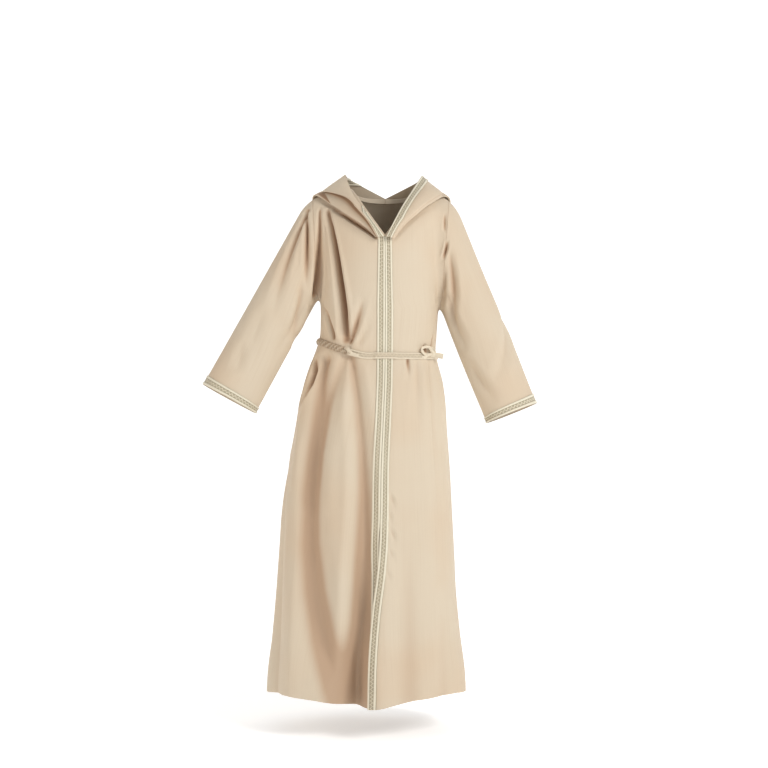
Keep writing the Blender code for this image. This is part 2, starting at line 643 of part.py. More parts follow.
def front_guess(side):
    """Rows of points for a front, from hem to neckline and shoulder, from the opening to the side."""
    sign = SLEEVES[side]["sign"]
    hole = ARMHOLE[side][0]
    rows = []
    for height in ROW_HEIGHTS + (hole[0][2],):
        right, left, _, _ = section_at(height)
        start = (edge_x(height, side) - (left + right) / 2) / ((left - right) / 2)
        start = math.asin(np.sign(start) * abs(start) ** (SQUARENESS / 2))
        line = row_line(np.linspace(start, sign * math.pi / 2, LINE_STEPS), height)
        if height == hole[0][2]:
            line[-1] = hole[0]
        rows.append(spaced(line, (0, TRIM_WIDTH / 2, TRIM_WIDTH), FRONT_COLUMNS))
    rows = np.array(rows)
    high = np.concatenate([neck_front(side), shoulder(side)[1:]])
    z = np.linspace(rows[-1][0][2], V_NECK_Z, ARMHOLE_ROWS + 1)
    opening = cast(edge_x(z, side), z, -1)
    opening[0], high[0] = rows[-1][0], opening[-1]
    return np.concatenate([rows[:-1], coons(rows[-1], high, opening, hole)])


def back_guess():
    """Rows of points for the back, from hem to neckline, from the right side to the left."""
    right_hole, left_hole = ARMHOLE["right"][1], ARMHOLE["left"][1]
    angles = np.radians(np.linspace(-90, -270, 2 * LINE_STEPS))
    rows = []
    for height in ROW_HEIGHTS:
        rows.append(spaced(row_line(angles, height), (0,), BACK_COLUMNS))
    top = right_hole[0][2] + (left_hole[0][2] - right_hole[0][2]) * np.linspace(0, 1, len(angles))
    line = settle(ring_points(angles, top))[0]
    line[0], line[-1] = right_hole[0], left_hole[0]
    low = spaced(line, (0,), BACK_COLUMNS)
    neck = np.concatenate([neck_back("right"), neck_back("left")[::-1][1:]])
    high = np.concatenate([shoulder("right")[::-1], neck[1:], shoulder("left")[1:]])
    return np.concatenate([np.array(rows), coons(low, high, right_hole, left_hole)])


def inset(grid, normal, edges, amount=SEAM_GAP / 2):
    """A grid whose named edges are moved inwards over the surface, so that a seam stays open."""
    moved = grid.copy()
    for edge in edges:
        here, inner = {
            "low": (np.s_[0], np.s_[1]),
            "high": (np.s_[-1], np.s_[-2]),
            "first": (np.s_[:, 0], np.s_[:, 1]),
            "last": (np.s_[:, -1], np.s_[:, -2]),
        }[edge]
        tangent = np.gradient(grid[here], axis=0)
        side = unit(np.cross(normal[here], tangent))
        side *= np.sign((side * (grid[inner] - grid[here])).sum(-1))[:, None]
        if len(side) > UNDERARM_ROW + 1:
            side[UNDERARM_ROW] = side[UNDERARM_ROW - 1] + side[UNDERARM_ROW + 1]
        moved[here] += amount * side
    return moved


def panel(guess, edges, front=None):
    """Folded points and normals of a panel, with its seam edges moved apart from their neighbours."""
    base, normal = settle(guess)
    return drape(inset(base, normal, edges), front)


def quads(number):
    """The four corner numbers of each cell in a grid of point numbers."""
    corners = (number[:-1, :-1], number[:-1, 1:], number[1:, 1:], number[1:, :-1])
    return np.stack(corners, axis=-1).reshape(-1, 4).tolist()


def wall_mesh(name, outer, normal, thick, slot, closed=False):
    """A closed wall between a grid of points and the same grid moved in by its thickness."""
    rows, columns = outer.shape[:2]
    inner = outer - normal * thick
    points = np.concatenate([outer.reshape(-1, 3), inner.reshape(-1, 3)])
    half = rows * columns
    faces = []
    number = np.arange(half).reshape(rows, columns)
    if closed:
        number = np.concatenate([number, number[:, :1]], axis=1)
    for a, b, c, d in quads(number):
        faces += [[a, b, c], [a, c, d], [half + c, half + b, half + a], [half + d, half + c, half + a]]
    rims = [zip(number[i, :-1], number[i, 1:]) for i in (0, -1)]
    if not closed:
        rims += [zip(number[:-1, j], number[1:, j]) for j in (0, -1)]
    for turned, rim in zip((True, False, False, True), rims):
        for a, b in rim:
            if turned:
                a, b = b, a
            faces += [[a, b, half + b], [a, half + b, half + a]]
    return add_mesh(name, points, faces, slot)


def add_mesh(name, points, faces, slot):
    """A named object with its slot's material, turned the right way out."""
    mesh = bpy.data.meshes.new(name)
    mesh.from_pydata(points.tolist(), [], [[int(i) for i in face] for face in faces])
    mesh.update()
    if signed_volume(mesh) < 0:
        mesh.flip_normals()
    mesh.shade_smooth()
    mesh.set_sharp_from_angle(angle=math.radians(SHARP_ANGLE))
    mesh.materials.append(material(slot))
    placed = bpy.data.objects.new(name, mesh)
    bpy.context.scene.collection.objects.link(placed)
    return placed


def signed_volume(mesh):
    """Volume inside a closed mesh, below zero where its faces point in."""
    total = 0.0
    for face in mesh.polygons:
        corners = [mesh.vertices[i].co for i in face.vertices]
        for b, c in zip(corners[1:], corners[2:]):
            total += corners[0].dot(b.cross(c)) / 6
    return total


def material(slot):
    """The Principled material of a slot, made once."""
    found = bpy.data.materials.get(slot)
    if found:
        return found
    made = bpy.data.materials.new(slot)
    made.use_nodes = True
    shader = made.node_tree.nodes["Principled BSDF"]
    shader.inputs["Base Color"].default_value = MATERIALS[slot]["color"]
    shader.inputs["Roughness"].default_value = MATERIALS[slot]["roughness"]
    shader.inputs["Metallic"].default_value = MATERIALS[slot]["metallic"]
    return made


def trim_on(name, points, normal, closed=False):
    """A strip of braid over a panel's own points, moved out by the trim's gap."""
    lift = TRIM_GAP + TRIM_THICK
    return wall_mesh(name, points + normal * lift, normal, TRIM_THICK, "trim", closed)


def build_fronts():
    """The two fronts and the braid along their edges. Returns the form's points and normals of each."""
    made = {}
    for side in SLEEVES:
        base, normal, cloth, cloth_normal = panel(front_guess(side), ("high", "last", "first"), side)
        wall_mesh(f"front_{side}", cloth, cloth_normal, CLOTH, "cloth")
        trim_on(f"front_braid_{side}", cloth[:, :3], cloth_normal[:, :3])
        made[side] = (base, normal)
    return made


def build_back():
    """The back panel. Returns its points and normals on the form."""
    base, normal, cloth, cloth_normal = panel(back_guess(), ("high", "first", "last"))
    wall_mesh("back", cloth, cloth_normal, CLOTH, "cloth")
    return base, normal


def build_sleeve(side):
    """A sleeve from the armhole to the cuff, and the braid round its cuff."""
    top, along, long, up, deep = sleeve_frame(side)
    front, back = ARMHOLE[side]
    ring = np.concatenate([front, back[::-1][1:-1]])
    turn = np.radians(ARMHOLE_TURNS)
    turn = np.concatenate([turn, math.pi - turn[::-1][1:-1]])
    wide, thick = (SLEEVE_SIZE[k][-1] for k in (f"{side}_width", "depth"))
    cuff = top + along * long
    cuff = cuff + np.outer(np.sin(turn), up) * wide - np.outer(np.cos(turn), deep) * thick
    length = np.linalg.norm(cuff - ring, axis=1).mean()
    shares = SLEEVE_SHARES + (1 - TRIM_WIDTH / length, 1 - TRIM_WIDTH / 2 / length, 1.0)
    guess = np.array([ring + (cuff - ring) * s for s in shares])
    base, normal = settle(guess)
    wrapped = np.concatenate([base[:, -1:], base, base[:, :1]], axis=1)
    tangent = (wrapped[0, 2:] - wrapped[0, :-2]) / 2
    seam_way = unit(np.cross(normal[0], tangent))
    seam_way *= np.sign((seam_way * (base[1] - base[0])).sum(-1))[:, None]
    base[0] += SEAM_GAP / 2 * seam_way
    _, _, cloth, cloth_normal = drape(base)
    wall_mesh(f"sleeve_{side}", cloth, cloth_normal, CLOTH, "cloth", closed=True)
    trim_on(f"cuff_braid_{side}", cloth[-3:], cloth_normal[-3:], closed=True)


def hood_lines(side):
    """The guide lines of one hood half, from the seam inside the neckline to the rim, as rows of points."""
    sign = SLEEVES[side]["sign"]
    neck = np.concatenate([neck_front(side), neck_back(side)[1:]])
    neck[0] += unit(neck[1] - neck[0]) * HOOD_START
    base, normal = settle(neck)
    tangent = np.gradient(base, axis=0)
    inwards = unit(np.cross(normal, tangent))
    inwards *= np.sign((inwards * (np.array(NECK_MIDDLE) - base)).sum(-1))[:, None]
    seam = base + inwards * SEAM_GAP
    along = np.concatenate([[0], np.cumsum(np.linalg.norm(np.diff(neck, axis=0), axis=1))])
    at = along / along[-1]
    upper = []
    for line in HOOD_GUIDE[side].values():
        xyz = [ease(at, line["station"], line[k]) for k in "xyz"]
        upper.append(np.stack([CENTRE_X + sign * xyz[0], xyz[1], xyz[2]], axis=1))
    stand = seam + normal * HOOD_STAND
    under = stand + (upper[0] - stand) * HOOD_UNDER
    return np.array([seam - normal * CLOTH, stand, under] + upper)


def build_hood(side):
    """One half of the hood, lying back on the shoulders, and the braid along its rim."""
    sign = SLEEVES[side]["sign"]
    guides = hood_lines(side)
    knots = np.arange(len(guides), dtype=float)
    grid = []
    for j in range(guides.shape[1]):
        upper = np.linspace(HOOD_KNOTS[-1], knots[-1], LINE_STEPS)
        line = np.stack([ease(upper, knots, guides[:, j, k]) for k in range(3)], axis=1)
        along = np.concatenate([[0], np.cumsum(np.linalg.norm(np.diff(line, axis=0), axis=1))])
        braid = min(TRIM_WIDTH, along[-1] * HOOD_BRAID_SHARE)
        plain = (along[-1] - braid) * np.array(HOOD_UPPER)
        at = np.concatenate([plain, along[-1] - braid * np.array((1.0, 0.5, 0.0))])
        rim = np.stack([np.interp(at, along, line[:, k]) for k in range(3)], axis=1)
        body = np.stack([ease(np.array(HOOD_KNOTS), knots, guides[:, j, k]) for k in range(3)], axis=1)
        grid.append(np.concatenate([body, rim]))
    grid = np.array(grid).transpose(1, 0, 2)
    free = grid[HOOD_FREE:]
    clear = np.interp(free[..., 1], *zip(*HOOD_CLEAR))
    for _ in range(3):
        free += unit(slope_of(free)) * np.maximum(clear - form(free), 0)[..., None]
    normal = unit(np.cross(np.gradient(grid, axis=0), np.gradient(grid, axis=1)))
    if (normal[HOOD_TOP] * (grid[HOOD_TOP] - grid.mean((0, 1)))).sum() < 0:
        normal = -normal
    normal[:, -1, 0] = 0
    normal = unit(normal)
    grid[:, -1, 0] = CENTRE_X + sign * SEAM_GAP / 2
    wall_mesh(f"hood_{side}", grid, normal, CLOTH, "cloth")
    trim_on(f"hood_braid_{side}", grid[-3:], normal[-3:])


def build_belt(fronts, back):
    """The tied belt: a flat band over the panels' own points at the waist."""
    rows = list(BELT_ROWS)
    loops = []
    for k in range(2):
        right, left, rear = fronts["right"][k][rows], fronts["left"][k][rows], back[k][rows]
        loops.append(np.concatenate([right, rear[:, 1:-1], left[:, :0:-1]], axis=1))
    points, normal = loops
    braid = np.zeros(points.shape[1])
    braid[:3] = braid[-2:] = 1.0
    lift = BELT_GAP + braid * (TRIM_GAP + TRIM_THICK) + BELT_THICK
    return wall_mesh("belt", points + normal * lift[None, :, None], normal, BELT_THICK, "trim", closed=True)


def belt_place(belt, x, z):
    """The point of the belt's outer face at x, z on the front, with the directions along, up and out."""
    point = cast(x, z, -1)
    away = unit(slope_of(point))
    mesh = belt.data
    tree = BVHTree.FromPolygons([v.co for v in mesh.vertices], [f.vertices[:] for f in mesh.polygons])
    place, out, _, _ = tree.ray_cast(Vector(point + away * BELT_PROBE), Vector(-away))
    place, out = np.array(place), np.array(out)
    along = unit(np.cross(out, (0.0, 0.0, 1.0)))
    along *= np.sign(along[0])
    up = unit(np.cross(along, out))
    return place, along, up * np.sign(up[2]), out


def build_knot(name, belt):
    """A small gathered knot on the front of the belt: an oval body with turns of cloth round it."""
    k = dict(zip(KNOT_COLUMNS, KNOTS[name]))
    place, along, up, out = belt_place(belt, k["x"], k["z"])
    centre = place + out * (TRIM_GAP + KNOT_GROOVE + k["half_deep"])
    tilt = math.radians(k["tilt"])
    along, up = along * math.cos(tilt) + up * math.sin(tilt), up * math.cos(tilt) - along * math.sin(tilt)
    turn = np.radians(360) * np.arange(KNOT_SIDES) / KNOT_SIDES
    rise = np.radians(180) * (np.arange(KNOT_RINGS) + 0.5) / KNOT_RINGS - np.radians(90)
    turn, rise = np.meshgrid(turn, rise)
    grooves = 1 + KNOT_GROOVE / k["half_deep"] * np.cos(KNOT_TURNS * rise + turn)
    round_off = np.cos(rise) ** KNOT_BLUNT * grooves
    points = (
        centre
        + along * (k["half_long"] * np.sin(rise))[..., None]
        + up * (k["half_high"] * round_off * np.cos(turn))[..., None]
        + out * (k["half_deep"] * round_off * np.sin(turn))[..., None]
    )
    number = np.arange(KNOT_RINGS * KNOT_SIDES).reshape(KNOT_RINGS, KNOT_SIDES)
    number = np.concatenate([number, number[:, :1]], axis=1)
    low, high = number.max() + 1, number.max() + 2
    faces = []
    for a, b, c, d in quads(number):
        faces += [[a, b, c], [a, c, d]]
    faces += [[low, b, a] for a, b in zip(number[0, :-1], number[0, 1:])]
    faces += [[high, a, b] for a, b in zip(number[-1, :-1], number[-1, 1:])]
    tips = [points[0].mean(0), points[-1].mean(0)]
    add_mesh(name, np.concatenate([points.reshape(-1, 3), tips]), faces, "trim")


def build_end(name, belt):
    """A loose end of the belt that stands out beside its knot."""
    e = dict(zip(END_COLUMNS, ENDS[name]))
    place, along, up, out = belt_place(belt, e["x"], e["z"])
    t = np.linspace(0, 1, END_STEPS + 1)[:, None]
    run = along * e["run_along"] + up * e["run_up"] + out * e["run_out"]
    middle = place + out * (END_GAP + TRIM_THICK) + run * t
    side = unit(np.cross(run, out))
    face = unit(np.cross(side, run))
    face *= np.sign(face @ out)
    grid = middle[:, None] + side * (np.array((-1.0, 0.0, 1.0)) * e["half_width"])[None, :, None]
    normal = np.broadcast_to(face, grid.shape)
    wall_mesh(name, grid, normal, TRIM_THICK, "trim")


def build():
    """All pieces of the robe."""
    fronts = build_fronts()
    back = build_back()
    for side in SLEEVES:
        build_sleeve(side)
        build_hood(side)
    belt = build_belt(fronts, back)
    for name in KNOTS:
        build_knot(name, belt)
    for name in ENDS:
        build_end(name, belt)


for old in list(bpy.data.objects):
    bpy.data.objects.remove(old)
build()
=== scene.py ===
"""Looks of a hooded djellaba robe: its sewn cloth, braid and tied belt.

Metres, +Z up, the front faces -Y. Right and left are the sides of the robe itself. One smooth form stands for
body and sleeves. Each cloth piece is a grid of points on that form, moved in and out by the folds, with a thin
wall. Braid and belt are made from the points of the cloth that they lie on, moved out.
"""

import logging
import math
from dataclasses import dataclass
from enum import Enum
from functools import cached_property

import bpy
import numpy as np
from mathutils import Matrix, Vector


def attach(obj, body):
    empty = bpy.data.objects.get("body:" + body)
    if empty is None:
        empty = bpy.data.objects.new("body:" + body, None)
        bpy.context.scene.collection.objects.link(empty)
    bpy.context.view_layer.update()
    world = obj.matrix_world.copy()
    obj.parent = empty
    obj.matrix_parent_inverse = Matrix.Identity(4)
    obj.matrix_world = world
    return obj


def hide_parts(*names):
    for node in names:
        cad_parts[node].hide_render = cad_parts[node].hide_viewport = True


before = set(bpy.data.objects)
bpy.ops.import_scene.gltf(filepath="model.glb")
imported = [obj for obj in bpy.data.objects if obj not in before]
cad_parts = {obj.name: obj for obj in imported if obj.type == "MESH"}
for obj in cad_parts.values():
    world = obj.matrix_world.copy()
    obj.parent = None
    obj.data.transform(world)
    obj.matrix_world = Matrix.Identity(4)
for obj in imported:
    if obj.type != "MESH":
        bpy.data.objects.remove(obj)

Array = np.ndarray
LOG = logging.getLogger("robe")

CENTRE_X = 0.0057
HEM_Z = -0.943
V_NECK_Z = -0.079
BELT_Z = -0.296
TRIM_WIDTH = 0.015
CLOTH = 0.0013
SEAM_GAP = 0.0003
CORD_PLACE = 0.0021
FINE = 8
BACK_FINE = 7
SHARP_ANGLE = math.radians(55)


class Side(Enum):
    """The two sides of the robe, with the sign of x on each."""

    RIGHT = -1.0
    LEFT = 1.0

    @property
    def word(self) -> str:
        """The side's word in the names of pieces."""
        return self.name.lower()


class Slot(Enum):
    """Names of material slots."""

    CLOTH = "cloth"
    TRIM = "trim"


def unit(v: Array) -> Array:
    """Vectors along the last axis made one long."""
    return v / np.maximum(np.linalg.norm(v, axis=-1, keepdims=True), 1e-12)


def smooth_step(t: Array) -> Array:
    """3 t squared less 2 t cubed, with t held between 0 and 1."""
    t = np.clip(t, 0, 1)
    return t * t * (3 - 2 * t)


def bump(distance: Array, width: float) -> Array:
    """A bell: e to the minus square of distance over width."""
    return np.exp(-((distance / width) ** 2))


def ease(at: Array, xs: Array, ys: Array) -> Array:
    """A smooth curve through points: cubic Hermite pieces whose slopes are the points' own differences.

    Args:
        at: where the curve is wanted.
        xs: rising places of the points.
        ys: value or vector at each place.

    Returns:
        The curve's values, flat past both ends.
    """
    xs, ys = np.asarray(xs, float), np.asarray(ys, float)
    slope = np.gradient(ys, xs, axis=0)
    at = np.clip(at, xs[0], xs[-1])
    i = np.clip(np.searchsorted(xs, at) - 1, 0, len(xs) - 2)
    step = xs[i + 1] - xs[i]
    t = (at - xs[i]) / step
    more = (1,) * (ys.ndim - 1)
    t, step = t.reshape(t.shape + more), step.reshape(step.shape + more)
    return (
        (2 * t**3 - 3 * t**2 + 1) * ys[i]
        + (t**3 - 2 * t**2 + t) * step * slope[i]
        + (3 * t**2 - 2 * t**3) * ys[i + 1]
        + (t**3 - t**2) * step * slope[i + 1]
    )


def arc(line: Array) -> Array:
    """Distance along a line of points, from its start."""
    return np.concatenate([[0], np.cumsum(np.linalg.norm(np.diff(line, axis=0), axis=1))])


def at_distances(line: Array, where: Array) -> Array:
    """Points of a line at distances from its start."""
    return np.stack([np.interp(where, arc(line), line[:, k]) for k in range(3)], axis=1)


def spaced(line: Array, head: float, head_count: int, count: int) -> Array:
    """A line's points, head_count steps over its first head metres and even steps over the rest.

    Args:
        line: points in order.
        head: length of the first part in metres.
        head_count: steps over the first part.
        count: steps in all.

    Returns:
        The new points.
    """
    first = np.linspace(0, head, head_count + 1)
    rest = np.linspace(head, arc(line)[-1], count - head_count + 1)[1:]
    return at_distances(line, np.concatenate([first, rest]))


def refined(values: Array, parts: int) -> Array:
    """Values with each step of the list cut into equal parts."""
    index = np.linspace(0, len(values) - 1, (len(values) - 1) * parts + 1)
    return np.interp(index, np.arange(len(values)), values)


def resampled(grid: Array, rows: Array, columns: Array) -> Array:
    """A grid's values between its points, by straight lines along rows and then columns.

    Args:
        grid: values in rows and columns.
        rows: places among the rows.
        columns: places among the columns.

    Returns:
        A value for each row place and column place.
    """
    i = np.clip(rows.astype(int), 0, grid.shape[0] - 2)
    j = np.clip(columns.astype(int), 0, grid.shape[1] - 2)
    s = (rows - i)[:, None, None]
    t = (columns - j)[None, :, None]
    low = grid[i][:, j] * (1 - t) + grid[i][:, j + 1] * t
    high = grid[i + 1][:, j] * (1 - t) + grid[i + 1][:, j + 1] * t
    return low * (1 - s) + high * s


def surface_normals(grid: Array, like: Array, closed: bool = False) -> Array:
    """Unit normals of a grid: the cross product of its differences, turned to the side of like.

    Args:
        grid: points in rows and columns.
        like: vectors on the side wanted.
        closed: whether the last column joins the first.

    Returns:
        A unit normal at each point.
    """
    wide = np.concatenate([grid[:, -1:], grid, grid[:, :1]], axis=1) if closed else grid
    across = np.gradient(wide, axis=1)
    along = np.gradient(wide, axis=0)
    normal = unit(np.cross(across, along))
    if closed:
        normal = normal[:, 1:-1]
    return normal * np.sign((normal * like).sum(-1))[..., None]


@dataclass(frozen=True)
class SleeveSizes:
    """One sleeve: its axis, half widths along it and the plane of its armhole."""

    top: tuple
    cuff: tuple
    widths: tuple
    armhole_top_x: float
    armhole_low_x: float


SLEEVES = {
    Side.RIGHT: SleeveSizes((-0.111, 0.002, -0.056), (-0.287, -0.030, -0.378),
                            (0.0540, 0.0545, 0.0550, 0.0560), -0.131, -0.1195),
    Side.LEFT: SleeveSizes((0.1055, 0.002, -0.056), (0.2440, -0.030, -0.405),
                           (0.0495, 0.0495, 0.0515, 0.0500), 0.127, 0.1103),
}


@dataclass(frozen=True)
class RobeForm:
    """The smooth form under the cloth: body sections, a shoulder roof and two sleeve tubes run together."""

    # Millimetres: height, x of the right and left sides, y of front and back
    sections: tuple = (
        (-950, -219, 160, -151, 150),
        (-895, -216.5, 157.5, -148, 147),
        (-820, -207, 148, -141, 140),
        (-740, -199.5, 140.5, -134, 133),
        (-665, -194, 137, -128, 127),
        (-590, -189, 133, -121, 120),
        (-513, -178.6, 129, -114, 112),
        (-437, -165, 123.5, -106, 103),
        (-380, -155, 120, -99, 95),
        (-342, -145.5, 114.5, -93, 89),
        (-315, -136.5, 107, -88, 83),
        (-290, -126.5, 102, -83, 78),
        (-262, -118, 103.5, -86, 81),
        (-230, -116, 105.5, -92, 85),
        (-190, -116.5, 107, -97, 88),
        (-130, -119, 111, -98, 90),
        (-60, -120, 113, -95, 90),
        (30, -120, 113, -90, 88),
    )
    squareness: float = 2.15
    ridge_z: float = 0.030
    ridge_slope: float = 0.215
    ridge_round: float = 0.030
    roof_fall: float = 0.080
    roof_reach: float = 0.095
    roof_steep: float = 0.85
    roof_blend: float = 0.026
    sleeve_places: tuple = (0.0, 0.3, 0.6, 1.0)
    sleeve_depths: tuple = (0.049, 0.047, 0.044, 0.041)
    sleeve_cap: float = 0.070
    armpit_round: float = 0.011
    ray_start: float = 0.260
    ray_end: float = -0.02
    ray_steps: int = 120
    halvings: int = 24

    def section(self, z: Array) -> tuple:
        """x of the right and left sides and y of front and back at height z."""
        columns = np.array(self.sections).T / 1000
        return tuple(ease(z, columns[0], c) for c in columns[1:])

    def torso(self, p: Array) -> Array:
        """Below zero inside the body: a superellipse at each height, cut off by the shoulder roof.

        Args:
            p: points in metres.

        Returns:
            The field at each point.
        """
        x, y, z = p[..., 0], p[..., 1], p[..., 2]
        right, left, front, back = self.section(z)
        across = np.abs(x - (left + right) / 2) / ((left - right) / 2)
        deep = np.abs(y - (back + front) / 2) / ((back - front) / 2)
        ring = (across**self.squareness + deep**self.squareness + 1e-9) ** (1 / self.squareness)
        wall = (ring - 1) * (back - front) / 2
        ridge = self.ridge_z - self.ridge_slope * np.sqrt((x - CENTRE_X / 2) ** 2 + self.ridge_round**2)
        roof = (z - ridge + self.roof_fall * (y / self.roof_reach) ** 2) * self.roof_steep
        return -self.blend(-wall, -roof, self.roof_blend)

    def axes(self, side: Side) -> tuple:
        """Start, direction, length, across and depth axes of a sleeve.

        Args:
            side: the side of the robe.

        Returns:
            The start, three unit directions and the length, in the order above.
        """
        top, cuff = (np.array(v) for v in (SLEEVES[side].top, SLEEVES[side].cuff))
        long = float(np.linalg.norm(cuff - top))
        along = (cuff - top) / long
        up = unit(np.cross(along, (0.0, 1.0, 0.0))) * side.value
        deep = unit(np.cross(up, along))
        return top, along, long, up, deep * np.sign(deep[1])

    def sleeve(self, p: Array, side: Side) -> Array:
        """Below zero inside a sleeve: an oval tube round its axis with a rounded top end.

        Args:
            p: points in metres.
            side: the side of the robe.

        Returns:
            The field at each point.
        """
        top, along, long, up, deep = self.axes(side)
        q = p - top
        run = q @ along
        wide = ease(run / long, self.sleeve_places, SLEEVES[side].widths)
        thick = ease(run / long, self.sleeve_places, self.sleeve_depths)
        cap = np.minimum(run, 0) / self.sleeve_cap
        return (np.sqrt((q @ up / wide) ** 2 + (q @ deep / thick) ** 2 + cap**2 + 1e-9) - 1) * thick

    @staticmethod
    def blend(a: Array, b: Array, reach: float) -> Array:
        """The smaller of two fields, rounded where they are within reach of each other."""
        h = np.clip(0.5 + 0.5 * (b - a) / reach, 0, 1)
        return b * (1 - h) + a * h - reach * h * (1 - h)

    def field(self, p: Array) -> Array:
        """Below zero inside the whole form.

        Args:
            p: points in metres.

        Returns:
            The field at each point.
        """
        inside = self.torso(p)
        for side in Side:
            inside = self.blend(inside, self.sleeve(p, side), self.armpit_round)
        return inside

    def slope(self, p: Array, step: float = 2e-4) -> Array:
        """The field's slope, by differences."""
        moves = step * np.eye(3)
        return np.stack([(self.field(p + m) - self.field(p - m)) / (2 * step) for m in moves], axis=-1)

    def settle(self, p: Array, rounds: int = 5) -> tuple:
        """Points moved down the slope onto the surface, and the unit normals there.

        Args:
            p: points near the surface.
            rounds: how many steps to take.

        Returns:
            The points and their unit normals.
        """
        for _ in range(rounds):
            slope = self.slope(p)
            p = p - (self.field(p) / np.maximum((slope**2).sum(-1), 1e-9))[..., None] * slope
        return p, unit(self.slope(p))

    def cast(self, x: Array, z: Array, face: float) -> Array:
        """Points of the form seen at x, z from the front (face -1) or the back (face 1).

        Args:
            x: places to the left.
            z: heights.
            face: -1 or 1.

        Returns:
            The nearest point to the viewer for each pair.
        """
        x, z = np.broadcast_arrays(np.asarray(x, float), np.asarray(z, float))
        y = face * np.linspace(self.ray_start, self.ray_end, self.ray_steps)
        rays = np.stack(np.broadcast_arrays(x[..., None], y, z[..., None]), axis=-1)
        value = self.field(rays)
        inside = value < 0
        i = np.where(inside.any(-1), inside.argmax(-1), np.abs(value).argmin(-1))
        return self.settle(np.take_along_axis(rays, i[..., None, None].repeat(3, -1), -2)[..., 0, :], 6)[0]

    def way_out(self, start: Array, way: Array, reach: float) -> Array:
        """Where rays from inside first leave the form, found by halving.

        Args:
            start: a point inside.
            way: unit directions.
            reach: how far to look.

        Returns:
            A point on the surface for each direction.
        """
        r = np.linspace(0, reach, self.ray_steps)
        out = self.field(start + way[:, None, :] * r[:, None]) > 0
        far = r[np.maximum(out.argmax(-1), 1)]
        near = far - r[1]
        for _ in range(self.halvings):
            middle = (near + far) / 2
            outside = self.field(start + way * middle[:, None]) > 0
            near, far = np.where(outside, near, middle), np.where(outside, middle, far)
        return start + way * far[:, None]

    def ring(self, angles: Array, z: Array) -> Array:
        """Points of the body's sections at angles from the middle of the front, towards the left.

        Args:
            angles: angles in radians.
            z: heights.

        Returns:
            A point for each angle and height.
        """
        right, left, front, back = self.section(z)
        s, c = np.sin(angles), np.cos(angles)
        power = 2 / self.squareness
        x = (left + right) / 2 + (left - right) / 2 * np.sign(s) * np.abs(s) ** power
        y = (back + front) / 2 - (back - front) / 2 * np.sign(c) * np.abs(c) ** power
        return np.stack(np.broadcast_arrays(x, y, z), axis=-1)


FORM = RobeForm()


